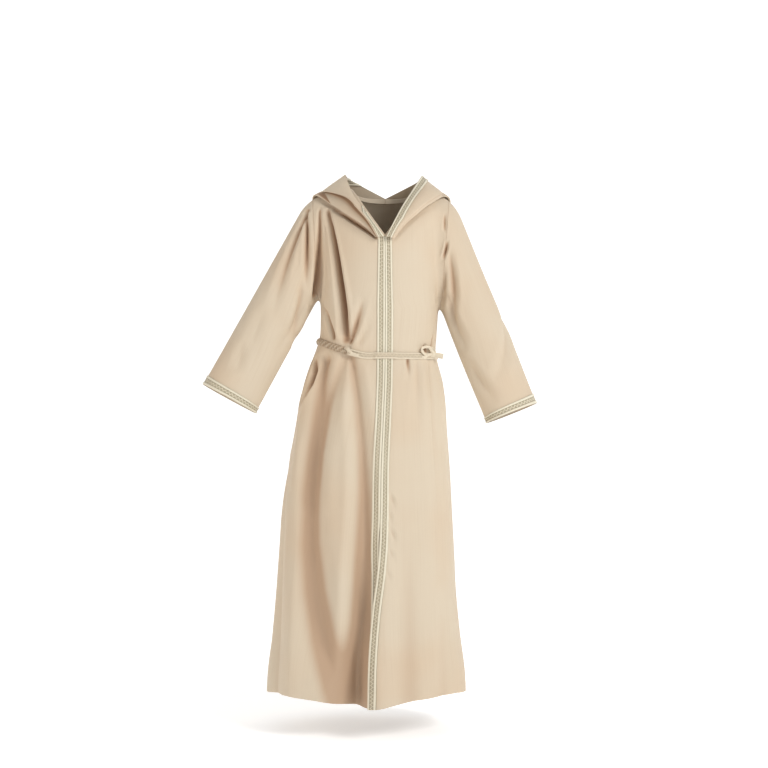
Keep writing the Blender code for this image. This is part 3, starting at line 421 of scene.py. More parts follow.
@dataclass(frozen=True)
class Folds:
    """The folds of the cloth: paths over the form, each with widths and heights at its ends and middle, which also
    set painted shade.
    """

    # The face, -1 at the front and 1 at the back, then millimetres: x and z of the start and of the end, bow,
    # width at the start and at the end, height at the start, the middle and the end
    rows: tuple = (
        # Right front: creases that run to the gathered cloth at the belt
        (-1, -100.5, -28, -66.5, -268, 4, 4.2, 7.8, -7, -15, -15),
        (-1, -112, -36, -86, -262, 4, 10, 9, 1, 4, 1),
        (-1, -34, -186, -58, -272, 2, 6, 5.2, 0, -7, -9),
        (-1, -112, -200, -89, -264, 2, 4.5, 4.5, -1, -7, -8),
        (-1, -66, -215, -67, -270, 0, 6, 5, 0, 3, 3),
        (-1, -20, -225, -43, -276, 2, 6, 5, 0, -2, -3),
        # Under the hood's lower edge, right then left: narrow dips that painted shade darkens into a shadow line,
        # strongly on the right
        (-1, -11, -79, -118, -3.5, -1, 2.6, 4, -5.4, -6.4, -1),
        (-1, 22, -83, 117, -2, 8, 3.4, 5, -1, -2.2, 0),
        # Beside and above the belt's knot: the first is a narrow dip that painted shade darkens into the dark hole
        # under the knot's loop
        (-1, 78.5, -280.5, 83.5, -290, 0, 3.2, 3.6, -7, -8.5, -6),
        (-1, 97.5, -252, 92.5, -283, 0, 3, 3.5, 0, -5, -5),
        # Creases along the armholes
        (-1, -116.5, -24, -124.5, -182, 3, 3, 6.6, -4, -8.8, -13),
        (-1, 118, -34, 117.8, -62, 0, 2.6, 2.6, -2, -3.6, -2),
        (-1, 122.8, -82, 114, -117, 1, 2.6, 3, -1, -6, -1),
        (-1, 118, -110, 113, -190, 2, 6, 8, 0, -5, -5),
        # Skirt, right side: the two long troughs from the gather to the hem, and the ridges beside them
        (-1, -70, -300, -45, -985, -78, 13, 36, -8, -18, -19),
        (-1, -56, -300, -60, -985, 27, 10, 26, -10, -16, -20),
        (-1, -53, -780, -44, -985, 0, 13, 18, 0, -9, -14),
        (-1, -47, -540, -38, -985, 0, 12, 20, 0, -6, -8),
        (-1, -62, -375, -75, -860, 4, 16, 24, 2, 5, 1),
        (-1, -64, -306, -62, -370, 0, 5, 7, 4, 3, 0),
        (-1, -107, -306, -142, -560, -4, 13, 21, -15, -13, -4),
        (-1, -116, -303, -147, -386, 6, 3, 3, 2, 3, 0),
        (-1, -124.5, -308, -153, -384, 6, 5, 7, -8, -12, -4),
        (-1, -155, -420, -170, -985, 4, 10, 17, 1, 5, 6),
        (-1, -180, -500, -203, -985, 0, 10, 16, -2, -6, -7),
        # Skirt, left side: nearly smooth, with a few soft troughs and small puckers beside the braid
        (-1, 48, -306, 49, -350, 1, 3.4, 6, -7, -3, 0),
        (-1, 65, -308, 66, -440, 1, 6, 12, -3, -4, 0),
        (-1, 90, -306, 108, -700, 3, 8, 18, -4, -5, 0),
        (-1, 15, -552, 23.2, -575, 1, 3.6, 4.4, -1, -2.8, -0.6),
        (-1, 14.2, -584, 17.6, -603, 0, 3.4, 3.6, -1, -2.2, -0.6),
        (-1, 15, -612, 25, -641, 1, 3.8, 4.6, -1, -3, -0.6),
        (-1, 13.5, -650, 20.5, -673, 1, 3.4, 4.2, -1, -2.4, -0.6),
        (-1, 9, -690, 15, -713, 1, 3.4, 4.2, -1, -2.2, -0.6),
        (-1, 36, -420, 52, -985, 4, 22, 32, 0, -5, -7),
        (-1, 100, -620, 118, -985, 3, 18, 26, 0, -4, -6),
        # Back: gathers over and under the belt, then long folds to the hem
        (1, -70, -120, -58, -272, 4, 11, 8, 0, -5, -8),
        (1, 58, -110, 48, -276, -3, 11, 8, 0, -5, -8),
        (1, -6, -190, -4, -278, 0, 9, 7, 0, -3, -5),
        (1, -62, -306, -90, -985, -8, 8, 26, -7, -11, -14),
        (1, -6, -308, -18, -985, 6, 8, 24, -6, -9, -12),
        (1, 46, -308, 58, -985, 6, 8, 26, -7, -11, -13),
        (1, -105, -330, -158, -985, -4, 9, 22, -3, -7, -9),
        (1, 86, -330, 118, -985, 4, 9, 20, -3, -7, -9),
        # Right sleeve, front then back
        (-1, -138.5, -22, -207, -241, -8, 3.5, 11, -6, -7, 0),
        (-1, -142, -22, -141, -165, 1, 3.2, 5.8, -3, -8.5, -2),
        (-1, -149, -150, -167, -285, 3, 7, 10, -2, -7, 0),
        (-1, -142, -195, -205, -300, 5, 8, 12, -2, -5, 0),
        (-1, -262, -270, -272, -330, 3, 9, 9, 0, -4, 0),
        (-1, -215, -200, -246, -300, -4, 9, 12, 0, -3, 0),
        (1, -140, -60, -205, -240, 6, 10, 12, 0, -6, 0),
        (1, -145, -180, -190, -280, 4, 9, 11, -3, -5, 0),
        # Left sleeve, front then back
        (-1, 124, -190, 160, -290, -4, 7, 11, -4, -6, 0),
        (-1, 127, -105, 133, -225, 3, 5.5, 8, -2, -8, -2),
        (-1, 222, -205, 208, -345, 18, 8, 10, 0, -5, 0),
        (-1, 160, -300, 215, -385, -6, 8, 12, 0, -5, 0),
        (1, 135, -70, 182, -260, 6, 10, 12, 0, -6, 0),
        (1, 128, -185, 165, -290, 4, 9, 11, -3, -5, 0),
    )
    reach: float = 4.0
    crisp: float = 1.7
    shade_depth: float = 0.010
    shade_width: float = 0.018
    most_shade: float = 1.2
    side_ridge: float = 0.20
    ridge_place: float = 2.1
    ridge_width: float = 0.75
    belt_calm: float = 0.019
    belt_pinch: float = 0.50
    waist_half: float = 0.15
    underarm_calm: float = 0.024

    def paths(self) -> list:
        """Each fold's bowed path laid over the form, with its row of sizes.

        Returns:
            A pair for each row: the path's points, and its two widths and three heights.
        """
        t = np.linspace(0, 1, 9)
        made = []
        for face, *lengths in self.rows:
            x0, z0, x1, z1, bow, *sizes = np.array(lengths) / 1000
            run = np.array((x1 - x0, z1 - z0))
            side = np.array((-run[1], run[0])) / np.linalg.norm(run)
            arch = bow * 4 * t * (1 - t)
            made.append((FORM.cast(x0 + run[0] * t + side[0] * arch, z0 + run[1] * t + side[1] * arch, face), sizes))
        return made

    def height(self, p: Array, paths: list, quiet: list) -> tuple:
        """How far the folds move each point: the sum over folds of a size along the path times a fold profile
        of the distance to it, which is a valley with a low ridge on each side.

        Args:
            p: points of the form.
            paths: what paths() gives.
            quiet: points round which the cloth is held smooth.

        Returns:
            Heights, below zero where the cloth moves in, and how shaded each point is: the largest of the
            creases' depths over their widths, and the sum of depths over shade_depth, less for narrow folds,
            up to most_shade.
        """
        total, steep, deep = (np.zeros(p.shape[:-1]) for _ in range(3))
        for path, (width0, width1, start, middle, end) in paths:
            low, high = path.min(0) - self.reach * width1, path.max(0) + self.reach * width1
            near = ((p > low) & (p < high)).all(-1)
            q = p[near]
            a, d = path[:-1], np.diff(path, axis=0)
            rel = q[:, None, :] - a
            t = np.clip((rel * d).sum(-1) / (d * d).sum(-1), 0, 1)
            off = np.linalg.norm(rel - t[..., None] * d, axis=-1)
            k = off.argmin(-1)[:, None]
            best = np.take_along_axis(off, k, 1)[:, 0]
            share = (k[:, 0] + np.take_along_axis(t, k, 1)[:, 0]) / len(a)
            size = start * (1 - share) * (1 - 2 * share) + middle * 4 * share * (1 - share)
            size = size + end * share * (2 * share - 1)
            width = width0 + (width1 - width0) * share
            away = best / width
            dip = np.maximum(-size, 0) * bump(away, 1.0)
            # Painted shade: how steep and how deep each crease is sets how much shade is painted into the cloth's
            # colour there.
            steep[near] = np.maximum(steep[near], dip / width)
            deep[near] += dip / self.shade_depth * np.minimum(width / self.shade_width, 1)
            ridge = self.side_ridge * bump(away - self.ridge_place, self.ridge_width)
            total[near] += size * (np.exp(-(away**self.crisp)) - ridge)
        for point in quiet:
            total *= 1 - bump(np.linalg.norm(p - point, axis=-1), self.underarm_calm)
        from_belt = np.abs(p[..., 2] - BELT_Z - BeltLine.climb(p[..., 0])) / self.belt_calm
        calm = np.exp(-(from_belt**4)) * (np.abs(p[..., 0]) < self.waist_half)
        moved = total * (1 - calm) + np.minimum(total, 0) * self.belt_pinch * calm
        return moved, np.maximum(steep, np.minimum(deep, self.most_shade))


class BeltLine:
    """The belt's line round the waist, which climbs towards the right side."""

    rise: float = 0.028
    start: float = 0.028
    run: float = 0.090
    power: float = 1.3

    @classmethod
    def climb(cls, x: Array) -> Array:
        """Height above the belt's height at the front, rising as a power of the distance past its start."""
        return cls.rise * np.clip((-x - cls.start) / cls.run, 0, 1) ** cls.power


@dataclass
class Patch:
    """A grid of cloth points with normals, a flat place for each point, the distance to the nearest seam, and
    how much shade is painted at it for the creases that it lies in."""

    points: Array
    normals: Array
    flat: Array
    sewn: Array
    crease: Array
    closed: bool = False

    def marks(self) -> dict:
        """What the finish reads at each point of both faces."""
        return {"sewn": self.sewn, "crease": self.crease}

    def bed(self, rows: Array, columns: Array, turned: bool = False) -> list:
        """The cloth's points and normals under a braid, by straight lines between those of the grid.

        Args:
            rows: places among the grid's rows.
            columns: places among its columns.
            turned: whether rows and columns change places, for a braid that runs along the rows.

        Returns:
            Points and normals.
        """
        beds = [resampled(v, rows, columns) for v in (self.points, self.normals)]
        return [v.transpose(1, 0, 2) for v in beds] if turned else beds


class ShellMesh:
    """Meshes made of grids."""

    @staticmethod
    def corners(rows: int, columns: int, wrap: bool) -> Array:
        """Row and column of the four corners of each cell, as an array of cells by 4 by 2.

        Args:
            rows: how many rows of points.
            columns: how many columns of points.
            wrap: whether the last column joins the first.

        Returns:
            Whole numbers, row then column.
        """
        i, j = np.meshgrid(np.arange(rows - 1), np.arange(columns if wrap else columns - 1), indexing="ij")
        ring = [np.stack([i + a, j + b], -1) for a, b in ((0, 0), (0, 1), (1, 1), (1, 0))]
        return np.stack(ring, axis=2).reshape(-1, 4, 2)

    @staticmethod
    def build(name: str, outer: Array, inner: Array, flat: Array, marks: dict | None = None,
              closed: bool = False) -> bpy.types.Object:
        """A closed wall between two grids: both faces, and a rim along each open edge.

        Args:
            name: the piece's name.
            outer: points of the face that shows.
            inner: points of the other face, in the same order.
            flat: flat place of each point in metres, with one more column where the grid is closed.
            marks: named values at each point.
            closed: whether the last column joins the first.

        Returns:
            The new object.
        """
        rows, columns = outer.shape[:2]
        half = rows * columns
        cells = ShellMesh.corners(rows, columns, closed)
        number = cells[..., 0] * columns + cells[..., 1] % columns
        place = cells[..., 0] * flat.shape[1] + cells[..., 1]
        faces = [number, half + number[:, ::-1]]
        places = [place, place[:, ::-1]]
        last = columns if closed else columns - 1
        edges = [(np.zeros(last, int), np.arange(last), 0, 1, False),
                 (np.full(last, rows - 1), np.arange(last), 0, 1, True)]
        if not closed:
            edges += [(np.arange(rows - 1), np.zeros(rows - 1, int), 1, 0, True),
                      (np.arange(rows - 1), np.full(rows - 1, columns - 1), 1, 0, False)]
        for i, j, di, dj, keep in edges:
            a = i * columns + j % columns
            b = (i + di) * columns + (j + dj) % columns
            u = i * flat.shape[1] + j
            v = (i + di) * flat.shape[1] + j + dj
            ring, spots = np.stack([a, b, half + b, half + a], 1), np.stack([u, v, v, u], 1)
            faces.append(ring if keep else ring[:, ::-1])
            places.append(spots if keep else spots[:, ::-1])
        points = np.concatenate([outer.reshape(-1, 3), inner.reshape(-1, 3)])
        both = {word: np.tile(values.ravel(), 2) for word, values in (marks or {}).items()}
        return ShellMesh.place(name, points, np.concatenate(faces), flat.reshape(-1, 2)[np.concatenate(places)], both)

    @staticmethod
    def place(name: str, points: Array, faces: Array, flat: Array, marks: dict) -> bpy.types.Object:
        """A mesh object of four-cornered faces with its flat map, turned the right way out.

        Args:
            name: the object's name.
            points: its points.
            faces: four point numbers a face.
            flat: flat place of each corner of each face.
            marks: named values at each point.

        Returns:
            The new object.
        """
        a, b, c, d = (points[faces[:, k]] for k in range(4))
        volume = (np.cross(b, c) * a).sum() + (np.cross(c, d) * a).sum()
        if volume < 0:
            faces, flat = faces[:, ::-1], flat[:, ::-1]
        mesh = bpy.data.meshes.new(name)
        mesh.vertices.add(len(points))
        mesh.vertices.foreach_set("co", points.ravel())
        mesh.loops.add(faces.size)
        mesh.loops.foreach_set("vertex_index", faces.ravel().astype(np.int32))
        mesh.polygons.add(len(faces))
        mesh.polygons.foreach_set("loop_start", np.arange(0, faces.size, 4, dtype=np.int32))
        mesh.update(calc_edges=True)
        mesh.uv_layers.new(name="UVMap").data.foreach_set("uv", flat.astype(np.float32).ravel())
        for word, values in marks.items():
            mesh.attributes.new(word, "FLOAT", "POINT").data.foreach_set("value", values.astype(np.float32))
        mesh.shade_smooth()
        mesh.set_sharp_from_angle(angle=SHARP_ANGLE)
        mesh.validate()
        made = bpy.data.objects.new(name, mesh)
        bpy.context.scene.collection.objects.link(made)
        return made


def flat_places(grid: Array, closed: bool = False) -> Array:
    """Flat places in metres: across by the middle row's distances scaled to each row, along by row distances.

    Args:
        grid: points in rows and columns.
        closed: whether the last column joins the first.

    Returns:
        Place across and along of each point, with one more column where the grid is closed.
    """
    wide = np.concatenate([grid, grid[:, :1]], axis=1) if closed else grid
    steps = np.linalg.norm(np.diff(wide, axis=1), axis=2)
    across = np.concatenate([np.zeros((len(grid), 1)), np.cumsum(steps, axis=1)], axis=1)
    across -= across[:, -1:] / 2
    middle = wide[:, wide.shape[1] // 2]
    along = np.repeat(arc(middle)[:, None], wide.shape[1], axis=1)
    return np.stack([across, along], axis=-1)


class SocketValue:
    """A shader value that takes part in sums: each sum adds its Math node."""

    def __init__(self, graph: "FinishGraph", socket: bpy.types.NodeSocket) -> None:
        """Keeps the graph and the socket that the value comes from."""
        self.graph = graph
        self.socket = socket

    def maths(self, operation: str, *values: "SocketValue | float") -> "SocketValue":
        """The result of a Math node on this value and others."""
        inputs = {n: v for n, v in enumerate((self, *values))}
        return self.graph.value("ShaderNodeMath", {"operation": operation}, inputs)

    def __add__(self, other: "SocketValue | float") -> "SocketValue":
        """Sum."""
        return self.maths("ADD", other)

    __radd__ = __add__

    def __mul__(self, other: "SocketValue | float") -> "SocketValue":
        """Product."""
        return self.maths("MULTIPLY", other)

    __rmul__ = __mul__

    def __sub__(self, other: "SocketValue | float") -> "SocketValue":
        """Difference."""
        return self.maths("SUBTRACT", other)

    def __rsub__(self, other: float) -> "SocketValue":
        """A number less this value."""
        return self.maths("MULTIPLY", -1.0) + other

    def __truediv__(self, other: "SocketValue | float") -> "SocketValue":
        """Quotient."""
        return self.maths("DIVIDE", other)

    def __abs__(self) -> "SocketValue":
        """Size without sign."""
        return self.maths("ABSOLUTE")

    def step(self, low: float, high: float) -> "SocketValue":
        """0 below low and 1 above high, smooth between them; falls where low is the larger.

        Args:
            low: where the step starts.
            high: where it ends.

        Returns:
            The stepped value.
        """
        settings = {"interpolation_type": "SMOOTHSTEP"}
        if low <= high:
            return self.graph.value("ShaderNodeMapRange", settings, {0: self, 1: low, 2: high, 3: 0.0, 4: 1.0})
        return self.graph.value("ShaderNodeMapRange", settings, {0: self, 1: high, 2: low, 3: 1.0, 4: 0.0})


class FinishGraph:
    """The node graph of one material."""

    def __init__(self, name: str, constants: dict) -> None:
        """Makes the material and sets the Principled sockets that are the same all over.

        Args:
            name: the material's name.
            constants: socket names and their values.
        """
        self.material = bpy.data.materials.new(name)
        self.material.use_nodes = True
        self.tree = self.material.node_tree
        self.shader = self.tree.nodes["Principled BSDF"]
        for socket, value in constants.items():
            self.shader.inputs[socket].default_value = value

    def node(self, kind: str, settings: dict, inputs: dict) -> bpy.types.Node:
        """A node of a type with its settings, then the values or links of its sockets.

        Args:
            kind: the node's type.
            settings: properties, set first.
            inputs: value or link of each socket.

        Returns:
            The new node.
        """
        made = self.tree.nodes.new(kind)
        for name, value in settings.items():
            setattr(made, name, value)
        for name, value in inputs.items():
            self.feed(made.inputs[name], value)
        return made

    def feed(self, socket: bpy.types.NodeSocket, value: object) -> None:
        """Links a value to a socket, or sets a plain number or colour on it.

        Args:
            socket: the socket to feed.
            value: a shader value, or a number or colour.
        """
        if isinstance(value, SocketValue):
            self.tree.links.new(value.socket, socket)
        else:
            socket.default_value = value

    def value(self, kind: str, settings: dict, inputs: dict, output: int | str = 0) -> SocketValue:
        """One output of a new node."""
        return SocketValue(self, self.node(kind, settings, inputs).outputs[output])

    @cached_property
    def flat(self) -> tuple:
        """The two flat places of the piece's own map, in metres.

        Returns:
            Place across and place along.
        """
        place = self.value("ShaderNodeUVMap", {"uv_map": "UVMap"}, {})
        split = self.node("ShaderNodeSeparateXYZ", {}, {0: place})
        return SocketValue(self, split.outputs[0]), SocketValue(self, split.outputs[1])

    def vector(self, x: object, y: object, z: object = 0.0) -> SocketValue:
        """A vector of three values."""
        return self.value("ShaderNodeCombineXYZ", {}, {0: x, 1: y, 2: z})

    def object_place(self) -> SocketValue:
        """Object coordinates."""
        return self.value("ShaderNodeTexCoord", {}, {}, "Object")

    def noise(self, place: SocketValue, scale: float, detail: float = 2.0) -> SocketValue:
        """Noise between 0 and 1 at a number of cells a unit."""
        inputs = {"Vector": place, "Scale": scale, "Detail": detail}
        return self.value("ShaderNodeTexNoise", {}, inputs, 0)

    def stretched_noise(self, scales: tuple, detail: float) -> SocketValue:
        """Noise on the piece's own map at a number of cells a metre across and along."""
        u, v = self.flat
        return self.noise(self.vector(u * scales[0], v * scales[1]), 1.0, detail)

    def mark(self, word: str) -> SocketValue:
        """A named value that the mesh keeps at each point."""
        return self.value("ShaderNodeAttribute", {"attribute_name": word}, {}, "Fac")

    def mix(self, a: object, b: object, share: object) -> SocketValue:
        """A colour between two colours."""
        inputs = {0: share, 6: a, 7: b}
        return self.value("ShaderNodeMix", {"data_type": "RGBA"}, inputs, 2)

    def finish(self, colour: SocketValue, roughness: SocketValue, relief: SocketValue, strength: float) -> None:
        """Feeds colour, roughness and a height in metres, as bump, to the shader.

        Args:
            colour: base colour.
            roughness: roughness.
            relief: height in metres.
            strength: how strongly the relief shows.
        """
        self.feed(self.shader.inputs["Base Color"], colour)
        self.feed(self.shader.inputs["Roughness"], roughness)
        bumped = self.value("ShaderNodeBump", {}, {"Strength": strength, "Distance": 1.0, "Height": relief}, "Normal")
        self.feed(self.shader.inputs["Normal"], bumped)


@dataclass(frozen=True)
class ClothFinish:
    """Plain woven cloth: warp and weft at a fine pitch, slubs along the warp, soft patches, seam puckers and painted
    crease shade.
    """

    name: str = "robe_cloth"
    light: tuple = (0.610, 0.522, 0.402, 1.0)
    warm: tuple = (0.600, 0.480, 0.350, 1.0)
    slub: tuple = (0.530, 0.415, 0.300, 1.0)
    shade: tuple = (0.450, 0.300, 0.195, 1.0)
    hollow_shade: tuple = (0.260, 0.150, 0.085, 1.0)
    seam: tuple = (0.420, 0.280, 0.180, 1.0)
    pitch: float = 0.00065
    slub_scale: tuple = (760.0, 5.0)
    thread_scale: tuple = (60.0, 1500.0)
    pucker_scale: tuple = (40.0, 190.0)
    patch_scale: float = 5.0
    weave_height: float = 0.000045
    slub_height: float = 0.00016
    thread_height: float = 0.00004
    seam_depth: float = 0.0006
    pucker_height: float = 0.0011

    def material(self) -> bpy.types.Material:
        """Height of the weave is the product of a sine across and a sine along; slubs are noise drawn out along
        the cloth; near a seam the cloth dips and puckers.

        Returns:
            The new material.
        """
        constants = {"Sheen Weight": 0.12, "Sheen Roughness": 0.45, "Sheen Tint": (1.0, 0.93, 0.82, 1.0),
                     "Specular IOR Level": 0.30}
        g = FinishGraph(self.name, constants)
        u, v = g.flat
        turn = 2 * math.pi / self.pitch
        weave = (u * turn).maths("SINE") * (v * turn).maths("SINE")
        slubs = g.stretched_noise(self.slub_scale, 2.0)
        threads = g.stretched_noise(self.thread_scale, 1.0)
        patches = g.noise(g.object_place(), self.patch_scale, 2.0)
        sewn = g.mark("sewn")
        near_seam = sewn.step(0.0016, 0.0002)
        pucker = g.stretched_noise(self.pucker_scale, 1.0) * sewn.step(0.012, 0.001)
        colour = g.mix(self.light, self.warm, patches.step(0.35, 0.70))
        colour = g.mix(colour, self.slub, slubs.step(0.46, 0.80) * 0.30 + threads.step(0.5, 0.8) * 0.12)
        # Painted shade: creases are darkened towards the shade colour, and steep narrow creases further towards a
        # darker shade colour, by the shade value that each point keeps.
        crease = g.mark("crease")
        colour = g.mix(colour, self.shade, crease.step(0.25, 1.35) * 0.85)
        colour = g.mix(colour, self.hollow_shade, crease.step(1.05, 2.05) * 0.85)
        colour = g.mix(colour, self.seam, near_seam * 0.45)
        roughness = 0.62 + slubs * 0.14 - weave * 0.05
        relief = weave * self.weave_height + slubs * self.slub_height + threads * self.thread_height
        relief = relief - near_seam * self.seam_depth + pucker * self.pucker_height
        g.finish(colour, roughness, relief, 0.75)
        return g.material


@dataclass(frozen=True)
class BraidFinish:
    """Flat braid: twisted cords along both edges and a zigzag thread on a darker woven ground between them, with
    painted shade where its mesh keeps a shade value.
    """

    name: str
    ground: tuple
    thread: tuple
    cord: tuple
    hollow_shade: tuple = (0.300, 0.190, 0.110, 1.0)
    width: float = TRIM_WIDTH
    cord_place: float = CORD_PLACE
    cord_half: float = 0.0020
    zigzag: float = 0.0070
    swing: float = 0.0021
    thread_half: float = 0.00135
    twist_pitch: float = 0.0021
    twist_slant: float = 0.8
    grain_pitch: tuple = (0.0009, 0.0008)
    patch_scale: tuple = (30.0, 14.0)
    twist_height: float = 0.00018
    cord_height: float = 0.0002
    thread_height: float = 0.0005
    back_height: float = 0.0002
    grain_height: float = 0.00010

    def material(self) -> bpy.types.Material:
        """Zigzag: a triangle wave of the distance along gives the thread's place across. Twist: a sine of the sum
        of both distances gives the cords their slanting ridges.

        Returns:
            The new material.
        """
        g = FinishGraph(self.name, {"Sheen Weight": 0.10, "Specular IOR Level": 0.55})
        u, v = g.flat
        from_middle = abs(u)
        from_cord = abs(from_middle - (self.width / 2 - self.cord_place))
        cord = from_cord.step(self.cord_half, self.cord_half - 0.0004)
        wave = abs((v / self.zigzag).maths("FRACT") - 0.5) * 4.0 - 1.0
        thread = abs(u - wave * self.swing).step(self.thread_half + 0.0003, self.thread_half - 0.0002)
        back_thread = abs(u + wave * self.swing).step(self.thread_half + 0.0002, self.thread_half - 0.0004)
        twist = ((u * self.twist_slant + v) * (2 * math.pi / self.twist_pitch)).maths("SINE")
        across, along = (2 * math.pi / pitch for pitch in self.grain_pitch)
        grain = (v * along).maths("SINE") * (u * across).maths("SINE")
        wear = g.noise(g.object_place(), 90.0, 3.0)
        patches = g.stretched_noise(self.patch_scale, 2.0)
        body = g.mix(self.ground, self.thread, patches.step(0.40, 0.75) * 0.25)
        body = g.mix(body, self.thread, back_thread * 0.30)
        body = g.mix(body, self.thread, thread * 0.95)
        edge = g.mix(self.cord, self.thread, (0.5 - twist * 0.5) * 0.35 + wear.step(0.5, 0.8) * 0.2)
        colour = g.mix(body, edge, cord)
        # Painted shade: the rolled part of the belt and the gather and knot strips are darkened towards the hollow
        # shade colour by the shade value that their meshes keep.
        crease = g.mark("crease")
        colour = g.mix(colour, self.hollow_shade, crease.step(0.2, 1.0) * 0.75)
        roughness = 0.46 + wear * 0.16 - cord * 0.08
        zigzags = self.thread_height * thread + self.back_height * back_thread
        relief = cord * (self.twist_height * twist + self.cord_height) + (1.0 - cord) * zigzags
        relief = relief + (1.0 - cord) * self.grain_height * grain
        g.finish(colour, roughness, relief, 0.8)
        return g.material


@dataclass(frozen=True)
class FloorFinish:
    """Pale matt studio floor."""

    name: str = "pale_floor"

    def material(self) -> bpy.types.Material:
        """Near white with a faint mottle.

        Returns:
            The new material.
        """
        g = FinishGraph(self.name, {"Specular IOR Level": 0.2, "Emission Color": (1.0, 1.0, 1.0, 1.0),
                                    "Emission Strength": 0.42})
        mottle = g.noise(g.object_place(), 1.5, 3.0)
        colour = g.mix((0.90, 0.90, 0.895, 1.0), (0.93, 0.93, 0.93, 1.0), mottle)
        g.finish(colour, 0.7 + mottle * 0.1, mottle * 0.0005, 0.1)
        return g.material


@dataclass(frozen=True)
class FlatCut:
    """A sheet as it was cut: widest row and longest column in metres, area in square metres, how it is held, and
    the nodes that it hangs from or lies on."""

    width: float
    length: float
    area: float
    held: str
    rests_on: tuple = ()


@dataclass
class Wardrobe:
    """The finishes, made once, and the last step of every piece."""

    cloth: bpy.types.Material
    braid: bpy.types.Material
    belt: bpy.types.Material

    def dress(self, piece: bpy.types.Object, node: str, material: bpy.types.Material) -> None:
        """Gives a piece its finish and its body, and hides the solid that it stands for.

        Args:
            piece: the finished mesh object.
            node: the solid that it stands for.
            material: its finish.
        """
        piece.data.materials.append(material)
        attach(piece, "root")
        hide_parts(node)
        piece.data.calc_loop_triangles()
        LOG.info("%s: %d triangles for %s", piece.name, len(piece.data.loop_triangles), node)

    def wall(self, name: str, node: str, patch: Patch) -> bpy.types.Object:
        """A thin wall of cloth: the patch, and the patch moved in by the cloth's thickness.

        Args:
            name: the piece's name.
            node: the solid that it stands for.
            patch: the folded cloth.

        Returns:
            The new object.
        """
        inner = patch.points - patch.normals * CLOTH
        piece = ShellMesh.build(name, patch.points, inner, patch.flat, patch.marks(), patch.closed)
        self.dress(piece, node, self.cloth)
        return piece

    def sew(self, words: tuple, side: Side, patch: Patch, bed: tuple, closed: bool = False) -> None:
        """A cloth piece and the braid along its edge.

        Args:
            words: the words of the piece, of its kind and of the edge.
            side: the side of the robe.
            patch: the folded cloth.
            bed: points and normals of the cloth under the braid.
            closed: whether the braid runs all round.
        """
        word, kind, edge = words
        piece = self.wall(f"{word}_{kind}_{side.word}", f"{word}_{side.word}", patch)
        trim = BRAID.build(f"{edge}_trim_{side.word}", *bed, TRIM_WIDTH, closed)
        self.dress(trim, f"{edge}_braid_{side.word}", self.braid)
        self.lay_out(piece, f"{word}_{side.word}", [trim])

    @staticmethod
    def lay_out(piece: bpy.types.Object, node: str, trims: list) -> None:
        """Does nothing: the piece is not declared as the sheet of its flat cut, and its trims are not recorded.

        Args:
            piece: the sheet; not used.
            node: the name of its flat cut; not used.
            trims: the pieces sewn to it; not used.
        """


